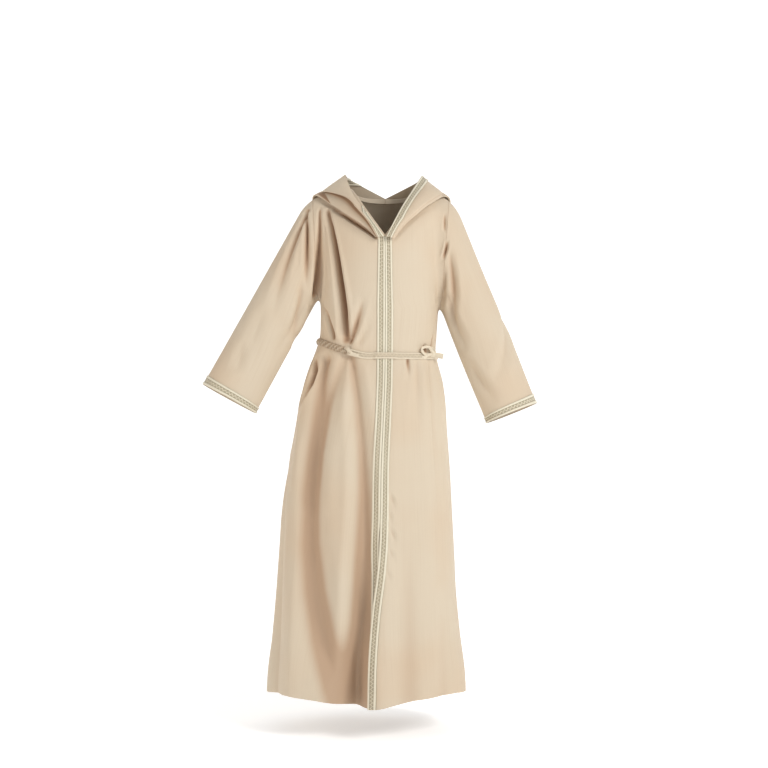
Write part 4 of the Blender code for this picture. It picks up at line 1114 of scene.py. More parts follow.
@dataclass
class ClothCut:
    """Grids of all the robe's cloth on the form, and the folds that move them."""

    folds: Folds
    armhole_turns: tuple = (-90, -81, -70, -56, -40, -22, -2, 20, 42, 66, 90)
    armhole_y: float = -0.0045
    armhole_depth: float = 0.196
    armhole_middle_z: float = -0.100
    armhole_reach: float = 0.140
    neck_half: float = 0.066
    neck_shoulder_z: float = 0.012
    neck_back_y: float = 0.055
    neck_slant: float = 1.4
    rows_below: int = 210
    line_points: int = 90
    sleeve_rows: int = 110
    shoulder_steps: int = 4
    neck_steps: int = 8
    back_neck_steps: int = 7
    # Millimetres: z, x of the upper front's edge, overlap, rise of the upper front, sink of the lower one
    opening: tuple = (
        (-945, -25.5, 19, 3.5, 15),
        (-855, -24, 18, 3.5, 13),
        (-760, -16.5, 13, 3.4, 8.5),
        (-700, -9, 6, 3.2, 3.8),
        (-655, -5.2, 1, 3, 1.4),
        (-600, -3, 0, 0, 0),
        (-500, -1.5, 0, 0, 0),
        (-400, 3, 0, 0, 0),
        (-345, 5.2, 0, 0, 0),
        (-303, 5.7, 0, 0, 0),
        (10, 5.7, 0, 0, 0),
    )
    lap_flat: float = 0.024
    lap_reach: float = 0.070
    hem_reach: float = 0.220
    waist_reach: float = 0.098
    # Degrees from the middle of the front, rise of the hem
    hem_rise: tuple = ((0, 0.0), (13, 0.0090), (28, 0.0160), (47, 0.0200), (63, 0.0195), (90, 0.012), (125, 0.004),
                       (180, 0.0))

    def __post_init__(self) -> None:
        """Works out the armholes and fold paths that every piece shares."""
        self.holes = {side: self.armhole(side) for side in Side}
        self.quiet = [self.holes[side][0][0] for side in Side]
        self.paths = self.folds.paths()

    def turns(self) -> Array:
        """Angles round the front half of an armhole, from underarm to shoulder."""
        return np.radians(refined(np.array(self.armhole_turns, float), FINE))

    def armhole(self, side: Side) -> tuple:
        """The armhole seam in its sloping plane, front half and back half, each from underarm to shoulder.

        Args:
            side: the side of the robe.

        Returns:
            Points of the front half and of the back half.
        """
        a = SLEEVES[side]
        half = self.turns()
        turn = np.concatenate([half, math.pi - half[::-1][1:]])
        lean = (a.armhole_top_x - a.armhole_low_x) / self.armhole_depth
        x = a.armhole_low_x + lean * (self.armhole_middle_z + self.armhole_depth)
        start = np.array((x, self.armhole_y, self.armhole_middle_z))
        way = unit(np.stack([lean * np.sin(turn), -np.cos(turn), np.sin(turn)], axis=1))
        ring = FORM.way_out(start, way, self.armhole_reach)
        return ring[:len(half)], ring[len(half) - 1:][::-1]

    def opening_at(self, z: Array, column: int) -> Array:
        """One column of the opening's table at height z."""
        values = np.array(self.opening).T / 1000
        return ease(z, values[0], values[column])

    def edge_x(self, z: Array, side: Side) -> Array:
        """x of a front's edge: the right front reaches under the left one by the overlap."""
        upper = self.opening_at(z, 1)
        return upper if side is Side.LEFT else upper + np.maximum(self.opening_at(z, 2), 0)

    def row_lines(self, angles: Array, heights: Array) -> Array:
        """Dense lines round the form, one a row, raised near the waist so that they follow the belt's climb, and
        raised near the hem by its rise at each angle.

        Args:
            angles: angle of each point of a row.
            heights: height of each row.

        Returns:
            Points of the form, in rows.
        """
        pull = np.clip(1 - ((heights - BELT_Z) / self.waist_reach) ** 2, 0, 1) ** 2
        rise = np.interp(np.degrees(np.arccos(np.cos(angles))), *zip(*self.hem_rise))
        lift = rise * np.clip(1 - (heights - HEM_Z) / self.hem_reach, 0, 1) ** 2
        z = heights + lift
        for _ in range(3):
            z = heights + lift + pull * BeltLine.climb(FORM.ring(angles, z)[..., 0])
        return FORM.settle(FORM.ring(angles, z))[0]

    def neck_front(self, side: Side, parts: int) -> Array:
        """Neckline from the V to the shoulder seam.

        Args:
            side: the side of the robe.
            parts: how many steps each step of the seam is cut into.

        Returns:
            Points of the seam.
        """
        t = np.linspace(0, 1, self.line_points)
        x = CENTRE_X + side.value * self.neck_half * t
        line = FORM.cast(x, V_NECK_Z + (self.neck_shoulder_z - V_NECK_Z) * t, -1)
        end = FORM.settle(np.array([[x[-1], 0.0, self.neck_shoulder_z]]))[0][0]
        line[:, 1] += (end[1] - line[-1, 1]) * t**4
        return spaced(FORM.settle(line)[0], TRIM_WIDTH * self.neck_slant, 2 * parts, self.neck_steps * parts)

    def neck_back(self, side: Side, parts: int) -> Array:
        """Neckline from the shoulder seam to the middle of the back: a quarter oval laid on the form.

        Args:
            side: the side of the robe.
            parts: how many steps each step of the seam is cut into.

        Returns:
            Points of the seam.
        """
        start = self.neck_front(side, parts)[-1]
        t = np.radians(np.linspace(0, 90, self.back_neck_steps * parts + 1))
        x = CENTRE_X + (start[0] - CENTRE_X) * np.cos(t)
        y = start[1] + (self.neck_back_y - start[1]) * np.sin(t)
        line = FORM.settle(np.stack([x, y, 0 * t], axis=1), 12)[0]
        line[0] = start
        return line

    def shoulder(self, side: Side, parts: int) -> Array:
        """Shoulder seam from the neckline to the armhole.

        Args:
            side: the side of the robe.
            parts: how many steps each step of the seam is cut into.

        Returns:
            Points of the seam.
        """
        a, b = self.neck_front(side, parts)[-1], self.holes[side][0][-1]
        t = np.linspace(0, 1, self.shoulder_steps * parts + 1)[:, None]
        line = FORM.settle(a + (b - a) * t)[0]
        line[0], line[-1] = a, b
        return line

    @staticmethod
    def coons(low: Array, high: Array, left: Array, right: Array) -> Array:
        """A grid between four lines: the blend across plus the blend up, less the blend of the corners.

        Args:
            low: the lower line.
            high: the upper line.
            left: the line from low to high at the start.
            right: the line from low to high at the end.

        Returns:
            Points in rows from low to high.
        """
        s = ((arc(low) / arc(low)[-1] + arc(high) / arc(high)[-1]) / 2)[None, :, None]
        t = ((arc(left) / arc(left)[-1] + arc(right) / arc(right)[-1]) / 2)[:, None, None]
        corners = (1 - s) * (1 - t) * low[0] + s * (1 - t) * low[-1] + (1 - s) * t * high[0] + s * t * high[-1]
        return (1 - t) * low[None] + t * high[None] + (1 - s) * left[:, None] + s * right[:, None] - corners

    def lap(self, p: Array, side: Side | None) -> Array:
        """How far the lapped front edges stand out or in near the opening.

        Args:
            p: points of the form.
            side: the front, or None for other pieces.

        Returns:
            Heights, below zero where the cloth moves in.
        """
        if side is None:
            return np.zeros(p.shape[:-1])
        x, z = p[..., 0], p[..., 2]
        away = (np.abs(x - self.opening_at(z, 1)) - self.lap_flat) / (self.lap_reach - self.lap_flat)
        fade = (1 - smooth_step(away)) * (p[..., 1] < 0)
        return (self.opening_at(z, 3) if side is Side.LEFT else -self.opening_at(z, 4)) * fade

    def draped(self, guess: Array, side: Side | None, seams: tuple, closed: bool = False) -> Patch:
        """The cloth over a grid of guesses: settled on the form, then moved by folds and lap along the normals.

        Args:
            guess: grid of points near the form.
            side: the front that it belongs to, for its lap, or None.
            seams: which edges are sewn, of low, high, first and last.
            closed: whether the last column joins the first.

        Returns:
            The folded cloth.
        """
        base, normal = FORM.settle(guess)
        fold, crease = self.folds.height(base, self.paths, self.quiet)
        moved = base + normal * (fold + self.lap(base, side))[..., None]
        flat = flat_places(base, closed)
        rows, columns = base.shape[:2]
        i, j = np.meshgrid(np.arange(rows), np.arange(columns), indexing="ij")
        sewn = np.full((rows, columns), 1.0)
        for seam in seams:
            edge = {"low": (0 * i, j), "high": (0 * i + rows - 1, j), "first": (i, 0 * j),
                    "last": (i, 0 * j + columns - 1)}[seam]
            sewn = np.minimum(sewn, np.linalg.norm(base - base[edge], axis=-1))
        return Patch(moved, surface_normals(moved, normal, closed), flat, sewn, crease, closed)

    def front(self, side: Side) -> Patch:
        """A front from hem to neckline and shoulder, and from the opening to the side seam.

        Args:
            side: the side of the robe.

        Returns:
            The folded cloth.
        """
        hole = self.holes[side][0]
        heights = np.linspace(HEM_Z, hole[0][2], self.rows_below + 1)[:, None]
        right, left, _, _ = FORM.section(heights)
        start = (self.edge_x(heights, side) - (left + right) / 2) / ((left - right) / 2)
        start = np.arcsin(np.sign(start) * np.abs(start) ** (FORM.squareness / 2))
        angles = start + (side.value * math.pi / 2 - start) * np.linspace(0, 1, self.line_points)
        lines = self.row_lines(angles, heights)
        lines[-1, -1] = hole[0]
        columns = (self.neck_steps + self.shoulder_steps) * FINE
        rows = np.array([spaced(line, TRIM_WIDTH, 2 * FINE, columns) for line in lines])
        high = np.concatenate([self.neck_front(side, FINE), self.shoulder(side, FINE)[1:]])
        z = np.linspace(rows[-1][0][2], V_NECK_Z, len(hole))
        edge = FORM.cast(self.edge_x(z, side), z, -1)
        edge[0], high[0] = rows[-1][0], edge[-1]
        guess = np.concatenate([rows[:-1], self.coons(rows[-1], high, edge, hole)])
        return self.draped(guess, side, ("high", "last"))

    def back(self) -> Patch:
        """The back from hem to neckline, and from the right side seam to the left one.

        Returns:
            The folded cloth.
        """
        holes = [self.holes[side][1] for side in (Side.RIGHT, Side.LEFT)]
        shares = np.linspace(0, 1, self.rows_below + 1)[:, None]
        across = np.linspace(0, 1, 2 * self.line_points)
        top = holes[0][0][2] + (holes[1][0][2] - holes[0][0][2]) * across
        lines = self.row_lines(np.radians(-90 - 180 * across), HEM_Z + (top - HEM_Z) * shares)
        lines[-1, 0], lines[-1, -1] = holes[0][0], holes[1][0]
        parts = BACK_FINE
        columns = 2 * (self.shoulder_steps + self.back_neck_steps) * parts
        rows = np.array([spaced(line, 0.0, 0, columns) for line in lines])
        neck = np.concatenate([self.neck_back(Side.RIGHT, parts), self.neck_back(Side.LEFT, parts)[::-1][1:]])
        high = np.concatenate([self.shoulder(Side.RIGHT, parts)[::-1], neck[1:], self.shoulder(Side.LEFT, parts)[1:]])
        guess = np.concatenate([rows[:-1], self.coons(rows[-1], high, *holes)])
        return self.draped(guess, None, ("high", "first", "last"))

    def sleeve(self, side: Side) -> Patch:
        """A sleeve from the armhole to the cuff: straight lines between the two rings, settled on the form.

        Args:
            side: the side of the robe.

        Returns:
            The folded cloth.
        """
        top, along, long, up, deep = FORM.axes(side)
        front, back = self.holes[side]
        ring = np.concatenate([front, back[::-1][1:-1]])
        half = self.turns()
        turn = np.concatenate([half, math.pi - half[::-1][1:-1]])
        cuff = top + along * long + np.outer(np.sin(turn), up) * SLEEVES[side].widths[-1]
        cuff = cuff - np.outer(np.cos(turn), deep) * FORM.sleeve_depths[-1]
        length = np.linalg.norm(cuff - ring, axis=1).mean()
        plain = np.linspace(0, 1 - TRIM_WIDTH / length, self.sleeve_rows)
        shares = np.concatenate([plain, np.linspace(plain[-1], 1, 2 * FINE + 1)[1:]])
        return self.draped(ring + (cuff - ring) * shares[:, None, None], None, ("low",), closed=True)


@dataclass
class BraidBand:
    """A strip of braid: cords along both edges, raised over the cloth that it is sewn to."""

    gap: float = SEAM_GAP
    edge: float = 0.0003
    edge_width: float = 0.0009
    middle: float = 0.0008
    cord_rise: float = 0.0010
    cord_place: float = CORD_PLACE
    cord_half: float = 0.0019
    steps: int = 28

    def rise(self, across: Array, width: float) -> Array:
        """Height over the cloth at a distance across: a flat middle, a half round on each cord, and thin edges.

        Args:
            across: distance from one edge.
            width: the braid's width.

        Returns:
            Height at each distance.
        """
        from_edge = np.minimum(across, width - across)
        round_cord = np.sqrt(np.clip(1 - ((from_edge - self.cord_place) / self.cord_half) ** 2, 0, 1))
        inside = smooth_step(from_edge / self.edge_width)
        return self.gap + self.edge + (self.middle - self.edge) * inside + self.cord_rise * round_cord

    def build(self, name: str, points: Array, normals: Array, width: float, closed: bool = False) -> bpy.types.Object:
        """A strip over a grid whose columns run across it.

        Args:
            name: the piece's name.
            points: the cloth's points under the strip.
            normals: its normals.
            width: the strip's width.
            closed: whether the strip's last row joins its first.

        Returns:
            The new object.
        """
        share = np.linspace(0, 1, points.shape[1])
        lift = self.rise(share * width, width)[None, :, None]
        run = points[:, points.shape[1] // 2]
        along = arc(np.concatenate([run, run[:1]]) if closed else run)
        flat = np.stack(np.meshgrid((share - 0.5) * width, along), axis=-1)
        outer, inner = points + normals * lift, points + normals * self.gap
        if closed:
            return ShellMesh.build(name, outer.transpose(1, 0, 2), inner.transpose(1, 0, 2),
                                   flat.transpose(1, 0, 2), closed=True)
        return ShellMesh.build(name, outer, inner, flat)


BRAID = BraidBand()


@dataclass
class BodyPieces:
    """Fronts, back and sleeves with their braid."""

    cut: ClothCut
    wardrobe: Wardrobe

    def build_front(self, side: Side) -> None:
        """A front, and the braid down its edge.

        Args:
            side: the side of the robe.
        """
        patch = self.cut.front(side)
        rows = np.arange(len(patch.points), dtype=float)
        columns = np.linspace(0, 2 * FINE, BRAID.steps + 1)
        self.wardrobe.sew(("front", "panel", "front"), side, patch, patch.bed(rows, columns))

    def build_back(self) -> None:
        """The back."""
        self.wardrobe.lay_out(self.wardrobe.wall("back_panel", "back", self.cut.back()), "back", [])

    def build_sleeve(self, side: Side) -> None:
        """A sleeve, and the braid round its cuff.

        Args:
            side: the side of the robe.
        """
        patch = self.cut.sleeve(side)
        last = len(patch.points) - 1
        rows = np.linspace(last - 2 * FINE, last, BRAID.steps + 1)
        columns = np.arange(0, patch.points.shape[1], 1.0)
        bed = patch.bed(rows, columns, turned=True)
        self.wardrobe.sew(("sleeve", "tube", "cuff"), side, patch, bed, closed=True)


@dataclass
class HoodHalf:
    """One half of the hood, lying back on the shoulders: guide lines from the V round to the back.

    roll is the fold at the outside, tuck and lip are the valley and the edge of the pleat over it, wall is the
    upper layer and rim its edge. Below the roll the cloth lies on the shoulder. x runs out from the centre.
    """

    side: Side
    cut: ClothCut
    guides: dict
    stations: tuple = (0.0, 0.15, 0.30, 0.45, 0.60, 0.80, 1.00)
    knots: tuple = (0.0, 1.0, 1.25, 1.5, 1.75, 2.0, 2.5, 3.0, 3.4, 4.0, 5.0)
    stand: float = 0.0034
    v_inset: float = 0.004
    rim_points: int = 60
    clear: tuple = ((-0.080, 0.0026), (-0.020, 0.0046))
    tuck_shade: float = 3.6
    tuck_place: float = 3.94
    under_shade: float = 2.2
    under_place: float = 2.72
    tuck_width: float = 0.26
    under_width: float = 0.20
    shade_end: float = 0.56
    shade_fade: float = 0.08
    body_parts: int = 5
    wall_steps: int = 10
    rim_steps: int = 16
    turned_in: tuple = ()
    slide_share: float = 1.1
    turn_width: float = 0.003

    def lines(self) -> Array:
        """All guide lines as rows of points, from the seam inside the neckline to the rim.

        Returns:
            Points of the guide lines, one line a row.
        """
        neck = np.concatenate([self.cut.neck_front(self.side, FINE), self.cut.neck_back(self.side, FINE)[1:]])
        neck[0] += unit(neck[1] - neck[0]) * self.v_inset
        base, normal = FORM.settle(neck)
        inwards = unit(np.cross(normal, np.gradient(base, axis=0)))
        inwards *= np.sign((inwards * (np.array((CENTRE_X, -0.010, 0.0)) - base)).sum(-1))[:, None]
        seam = base + inwards * SEAM_GAP
        at = arc(neck) / arc(neck)[-1]
        upper = [ease(at, self.stations, np.array(rows) / 1000) for rows in self.guides.values()]
        upper = [line * (self.side.value, 1, 1) + (CENTRE_X, 0, 0) for line in upper]
        stand = seam + normal * self.stand
        under = stand + (upper[0] - stand) * 0.5
        return np.array([seam - normal * CLOTH, stand, under] + upper)

    def patch(self) -> Patch:
        """The cloth: smooth curves through the guide lines, pushed clear of the form.

        Returns:
            The folded cloth.
        """
        guides = self.lines()
        places = np.arange(len(guides), dtype=float)
        body_at = refined(np.array(self.knots), self.body_parts)
        body = ease(body_at, places, guides)
        dense = ease(np.linspace(self.knots[-1], places[-1], self.rim_points), places, guides)
        rim = []
        for j in range(guides.shape[1]):
            long = arc(dense[:, j])[-1]
            braid = min(TRIM_WIDTH, long * 0.8)
            wall = np.linspace(0, long - braid, self.wall_steps + 1)
            where = np.concatenate([wall[1:], np.linspace(long - braid, long, self.rim_steps + 1)[1:]])
            rim.append(at_distances(dense[:, j], where))
        grid = np.concatenate([body, np.array(rim).transpose(1, 0, 2)])
        weight = np.ones(len(grid))
        weight[: len(body_at)] = smooth_step((body_at - 1.0) / 0.25)
        clear = np.interp(grid[..., 1], *zip(*self.clear)) * weight[:, None]
        for _ in range(3):
            short = np.maximum(clear - FORM.field(grid), 0) * weight[:, None]
            grid = grid + unit(FORM.slope(grid)) * short[..., None]
        normal = unit(np.cross(np.gradient(grid, axis=0), np.gradient(grid, axis=1)))
        if (normal[-20] * (grid[-20] - grid.mean((0, 1)))).sum() < 0:
            normal = -normal
        normal[:, -1, 0] = 0
        grid[:, -1, 0] = CENTRE_X
        flat = flat_places(grid)
        sewn = np.linalg.norm(grid - grid[:, -1:], axis=-1)
        # Painted shade: a dark band in the pleat's valley and one on the underside of the hood's lower fold, fading
        # out towards the back.
        shade = self.tuck_shade * bump(body_at - self.tuck_place, self.tuck_width)
        shade = np.maximum(shade, self.under_shade * bump(body_at - self.under_place, self.under_width))
        along = arc(grid[0]) / arc(grid[0])[-1]
        crease = np.zeros(grid.shape[:-1])
        crease[: len(body_at)] = shade[:, None] * (1 - smooth_step((along - self.shade_end) / self.shade_fade))
        return Patch(grid, unit(normal), flat, sewn, crease)

    def slid(self, points: Array, normals: Array, along: Array) -> tuple:
        """The braid's bed, slid round the rim onto the cloth's other face where the rim is turned in.

        Args:
            points: bed points, one row a station, from the braid's lower edge to the rim.
            normals: their normals.
            along: each station's share of the way from the V to the middle of the back.

        Returns:
            New points and normals.
        """
        if not self.turned_in:
            return points, normals
        start, full, back, end = self.turned_in
        slide = smooth_step((along - start) / (full - start)) * (1 - smooth_step((along - back) / (end - back)))
        last = points.shape[1] - 1
        place = np.arange(last + 1) / last + self.slide_share * slide[:, None]
        index = np.clip(np.where(place > 1, 2 - place, place), 0, 1) * last
        low = np.clip(index.astype(int), 0, last - 1)[..., None]
        part = index[..., None] - low
        bed, out = (np.take_along_axis(v, low, 1) * (1 - part) + np.take_along_axis(v, low + 1, 1) * part
                    for v in (points, normals))
        over = unit(points[:, -1] - points[:, -3])[:, None]
        turn = math.pi * smooth_step((place - 1) * TRIM_WIDTH / self.turn_width + 0.5)[..., None]
        way = out * np.cos(turn) + over * np.sin(turn)
        return bed + (way - out) * CLOTH / 2, way

    def build(self, wardrobe: Wardrobe) -> None:
        """The cloth and the braid along its rim.

        Args:
            wardrobe: the finishes.
        """
        patch = self.patch()
        last = len(patch.points) - 1
        rows = np.linspace(last - self.rim_steps, last, BRAID.steps + 1)
        columns = refined(np.arange(patch.points.shape[1], dtype=float), 2)
        along = arc(patch.points[0])
        shares = np.interp(columns, np.arange(len(along)), along / along[-1])
        wardrobe.sew(("hood", "half", "hood"), self.side, patch, self.slid(*patch.bed(rows, columns, True), shares))


# Millimetres from the middle of the robe, at each station: out, back and up
HOOD_GUIDES = {
    Side.RIGHT: {
        "roll": ((16.5, -103, -80.5), (42, -100, -56), (71, -83, -36.2), (98, -55, -16.5),
                 (127.5, -8, 0), (112, 90, -75), (0, 128, -200)),
        "tuck": ((15.2, -104.5, -79.5), (31.5, -101, -50), (50, -89, -25.5), (72.5, -61, 1),
                 (117, -8, 13.5), (111, 96, -55), (0, 143, -172)),
        "lip": ((14.6, -106.5, -79.7), (30.8, -108.5, -51.5), (49.5, -98.5, -27.7), (74.5, -71.5, -2.5),
                (121.5, -13.5, 12.5), (108, 98, -40), (0, 152, -150)),
        "wall": ((10, -106.5, -80.2), (28.5, -105, -51.5), (46.2, -92.5, -27.2), (68, -64, 3),
                 (101, -10, 28.5), (100, 100, -10), (0, 163, -90)),
        "rim": ((3.2, -104.5, -78.2), (24, -97, -49.5), (40, -84, -25), (60, -55, 6),
                (74.5, -12, 45), (64, 70, 43), (0, 120, 14)),
    },
    Side.LEFT: {
        "roll": ((16.5, -103, -83.5), (33, -101, -60), (58, -87, -37), (85, -60, -14),
                 (115, -6, 2), (104, 90, -80), (0, 128, -200)),
        "tuck": ((15.5, -104.5, -82.5), (32.5, -103, -58.5), (57, -91, -33.5), (83, -63, -9.5),
                 (112, -7, 8), (105, 95, -58), (0, 143, -172)),
        "lip": ((14.5, -106, -81.7), (30.5, -104.5, -55.5), (53.5, -93, -30), (79, -64, -5),
                (107, -8, 14.5), (104, 98, -40), (0, 152, -150)),
        "wall": ((10, -106.5, -80.2), (26.5, -103, -51.5), (46, -90, -24), (69, -62, 4),
                 (94, -10, 24.5), (98, 100, -10), (0, 163, -90)),
        "rim": ((3.2, -104.5, -78.2), (17.5, -98, -49), (32, -83, -21), (49, -56, 8),
                (68, -12, 42), (62, 70, 41), (0, 120, 14)),
    },
}

# The right half's rim is turned in between these shares of its length; its pleat lies deeper than the left one's, and
# the left half gets less painted shade in its pleat and under its lower fold
HOOD_SHAPES = {
    Side.RIGHT: {"turned_in": (0.22, 0.36, 0.72, 0.88)},
    Side.LEFT: {"tuck_shade": 0.7, "under_shade": 0.8},
}


@dataclass
class Ribbon:
    """A flat strip of braid swept along a path, with rounded edges."""

    half_width: float
    half_thick: float
    shade: float = 0.0
    sides: int = 14
    steps: int = 12
    square: float = 0.6
    round_end: float = 0.12
    thin_end: float = 0.05
    core: float = 0.05
    map_half: float = 0.0015

    def build(self, name: str, path: Array, across: Array) -> bpy.types.Object:
        """Sweeps an oval section along a smooth curve through the path's points.

        Args:
            name: the piece's name.
            path: points that the strip's middle goes through.
            across: the direction of its width at each point.

        Returns:
            The new object, closed at both ends.
        """
        at = np.arange(len(path), dtype=float)
        fine = np.linspace(0, len(path) - 1, self.steps * (len(path) - 1) + 1)
        line, wide = ease(fine, at, path), unit(ease(fine, at, across))
        tangent = unit(np.gradient(line, axis=0))
        wide = unit(wide - tangent * (wide * tangent).sum(-1)[:, None])
        thick = np.cross(tangent, wide)
        turn = 2 * math.pi * np.arange(self.sides) / self.sides
        flatness = np.sign(np.cos(turn)) * np.abs(np.cos(turn)) ** self.square
        end = np.minimum(fine, fine[-1] - fine)
        short = 1 - np.clip(end / self.round_end, 0, 1)
        taper = np.sqrt(np.clip(1 - short**2, self.thin_end**2, 1))[:, None, None]
        ring = wide[:, None] * (self.half_width * flatness)[None, :, None]
        ring = ring + thick[:, None] * (self.half_thick * np.sin(turn))[None, :, None] * taper
        outer = line[:, None] + ring
        inner = line[:, None] + ring * self.core
        run = arc(line)
        spread = TRIM_WIDTH / 2 - CORD_PLACE + np.append(flatness, flatness[0]) * self.map_half
        flat = np.stack(np.meshgrid(spread, run), axis=-1)
        # Painted shade: the whole strip is darkened by its shade value.
        marks = {"crease": np.full(outer.shape[:2], self.shade)}
        return ShellMesh.build(name, outer, inner, flat, marks, closed=True)


@dataclass(frozen=True)
class StripRow:
    """A strip of the belt's gather or knot: what it stands for, the x and z that its path is measured from, half
    its width and thickness in millimetres, how shaded it is, and its path: points in millimetres to the left, up
    and forwards of the cloth, with the direction of its width, one for all or one a point."""

    name: str
    node: str
    at: tuple
    half_width: float
    half_thick: float
    shade: float
    path: tuple
    across: tuple


GATHER, KNOT = (-0.0624, -0.2865), (0.0894, -0.2908)
BELT_STRIPS = (
    StripRow("belt_gather_turn", "belt_gather", GATHER, 3.7, 1.5, 0.60,
             ((-2.5, 7.5, 1.5), (-1.2, 4.0, 4.8), (0.4, 0.0, 5.8), (1.6, -4.0, 4.8), (2.4, -7.5, 1.2)), (1, 0.25, 0)),
    StripRow("belt_gather_cross", "belt_gather", GATHER, 2.8, 1.2, 0.50,
             ((-6.5, 4.2, 2.5), (-3.2, 2.4, 5.4), (0.2, 0.0, 7.0), (3.2, -2.6, 5.4), (6.0, -5.5, 2.6)),
             (0.5, 0.85, 0)),
    StripRow("belt_short_end", "belt_end_right", GATHER, 2.7, 0.9, 0.28,
             ((2.0, -3.0, 3.6), (7.0, -6.5, 4.2), (13.0, -9.0, 4.6), (20.0, -10.5, 5.0)), (0.3, 1, 0.2)),
    StripRow("belt_bow_loop", "belt_knot", KNOT, 2.5, 1.0, 0.10,
             ((9.0, -4.0, 6.0), (9.5, 2.0, 8.0), (5.0, 7.0, 9.0), (-2.5, 9.8, 9.5), (-10.0, 9.6, 9.0),
              (-14.6, 6.0, 8.0), (-12.8, 0.0, 7.5), (-7.5, -4.8, 7.0), (0.0, -7.0, 6.0)),
             ((0.8, -0.3, 0.5), (1, 0.3, 0.5), (0.5, 0.9, 0.5), (-0.2, 1, 0.5), (-0.7, 0.7, 0.7),
              (-0.8, 0.1, 0.8), (-0.8, -0.4, 0.6), (-0.3, -1, 0.5), (0.2, -1, 0.4))),
    StripRow("belt_bow_turn", "belt_knot", KNOT, 3.3, 1.5, 0.20,
             ((-1.0, 9.5, 6.0), (2.5, 5.5, 10.0), (6.5, 0.0, 10.5), (9.0, -6.5, 6.5)), (0.75, 0.65, 0)),
    StripRow("belt_bow_cross", "belt_knot", KNOT, 2.8, 1.2, 0.30,
             ((-15.0, -9.5, 4.6), (-8.0, -8.0, 6.0), (-1.0, -4.5, 8.0), (6.0, -3.0, 8.0)), (-0.25, 0.95, 0.1)),
    StripRow("belt_long_end", "belt_end_left", KNOT, 5.2, 0.8, 0.0,
             ((2.0, -3.5, 6.5), (9.0, -5.0, 7.5), (17.0, -6.0, 8.0), (25.5, -7.5, 8.5)),
             ((0.15, 1, 0.1), (0.2, 1, 0.3), (0.2, 1, 0.4), (0.25, 1, 0.3))),
)


@dataclass
class TiedBelt:
    """The belt: a braid band round the waist, gathered at the right, and tied in a small knot at the left."""

    width: float = 0.0124
    drop: float = 0.0018
    gap: float = 0.0005
    thick: float = 0.0016
    over_braid: float = 0.0021
    roll_from: float = -0.056
    roll_to: float = -0.066
    seen: tuple = (-0.112, 0.0935)
    braid_half: float = 0.0165
    braid_fade: float = 0.006
    cord_rise: float = 0.0006
    roll_edge: float = 0.8
    twist_height: float = 0.0011
    twist_turns: tuple = (640, 150, 1130)
    squeeze: float = 0.45
    roll_shade: float = 0.62
    twist_shade: float = 0.65

    def ring(self, steps: int = 620, rows: int = 18) -> tuple:
        """The form's points under the belt, and their normals, as rows up its width.

        Args:
            steps: points round the waist.
            rows: points up the width.

        Returns:
            Points and unit normals, in rows.
        """
        angles = np.linspace(0, 2 * math.pi, steps, endpoint=False)[None, :]
        z = BELT_Z + 0 * angles
        for _ in range(3):
            z = BELT_Z - self.drop + BeltLine.climb(FORM.ring(angles, z)[..., 0])
        across = np.linspace(-self.width / 2, self.width / 2, rows)[:, None]
        return FORM.settle(FORM.ring(angles + 0 * across, z + across))

    def build_band(self, wardrobe: Wardrobe) -> bpy.types.Object:
        """The band: cords along both edges; its gathered part is rolled, narrower and creased, with shade painted on
        it.

        Args:
            wardrobe: the finishes.

        Returns:
            The new object.
        """
        base, normal = self.ring()
        share = np.linspace(0, 1, len(base))[:, None]
        x, y = base[..., 0], base[..., 1]
        front = y < 0
        rolled = smooth_step((self.roll_from - x) / (self.roll_from - self.roll_to)) * front
        on_braid = 1 - smooth_step((np.abs(x - CENTRE_X) - self.braid_half) / self.braid_fade)
        profile = BraidBand(gap=0, middle=self.thick, cord_rise=self.cord_rise).rise(share * self.width, self.width)
        run = arc(base[len(base) // 2])[None, :]
        coarse, slow, small = (run * turns for turns in self.twist_turns)
        twist = np.sin(coarse + 1.6 * np.sin(slow) - share * 6.5) + 0.6 * np.sin(small + share * 7 + 1)
        crown = np.sin(share * math.pi)
        body = self.thick * (self.roll_edge + crown) + self.twist_height * twist * crown
        lift = self.gap + on_braid * front * self.over_braid
        outer_lift = lift + profile * (1 - rolled) + body * rolled
        outer = base + normal * outer_lift[..., None]
        inner = base + normal * (lift + 0 * share)[..., None]
        around = np.concatenate([run[0], [run[0, -1] + run[0, 1]]])
        flat = np.stack(np.meshgrid(around, (share[:, 0] - 0.5) * self.width), axis=-1)[..., ::-1].copy()
        flat[:, :-1, 0] *= 1 - self.squeeze * rolled
        # Painted shade: the rolled part is darkened, more in the grooves of its twist.
        crease = rolled * (self.roll_shade + self.twist_shade * smooth_step(0.2 - twist))
        piece = ShellMesh.build("belt_band", outer, inner, flat, {"crease": crease}, closed=True)
        wardrobe.dress(piece, "belt", wardrobe.belt)
        return piece

    def strip(self, row: StripRow, wardrobe: Wardrobe) -> bpy.types.Object:
        """A strip of the belt over the cloth.

        Args:
            row: its names, sizes and path.
            wardrobe: the finishes.

        Returns:
            The new object.
        """
        path = np.array(row.path, float) / 1000
        x, z = row.at[0] + path[:, 0], row.at[1] + path[:, 1]
        cloth = FORM.cast(np.clip(x, *self.seen), np.full_like(z, row.at[1]), -1)
        points = np.stack([x, cloth[:, 1] - path[:, 2], z], axis=1)
        ways = np.broadcast_to(np.array(row.across, float), path.shape) @ np.array(((1, 0, 0), (0, 0, 1), (0, -1, 0)))
        piece = Ribbon(row.half_width / 1000, row.half_thick / 1000, row.shade).build(row.name, points, ways)
        wardrobe.dress(piece, row.node, wardrobe.belt)
        return piece

    def build_knots(self, wardrobe: Wardrobe) -> list:
        """The gather with its short end, and the knot with its loop, crossing turn and longer end.

        Args:
            wardrobe: the finishes.

        Returns:
            The new objects.
        """
        return [self.strip(row, wardrobe) for row in BELT_STRIPS]


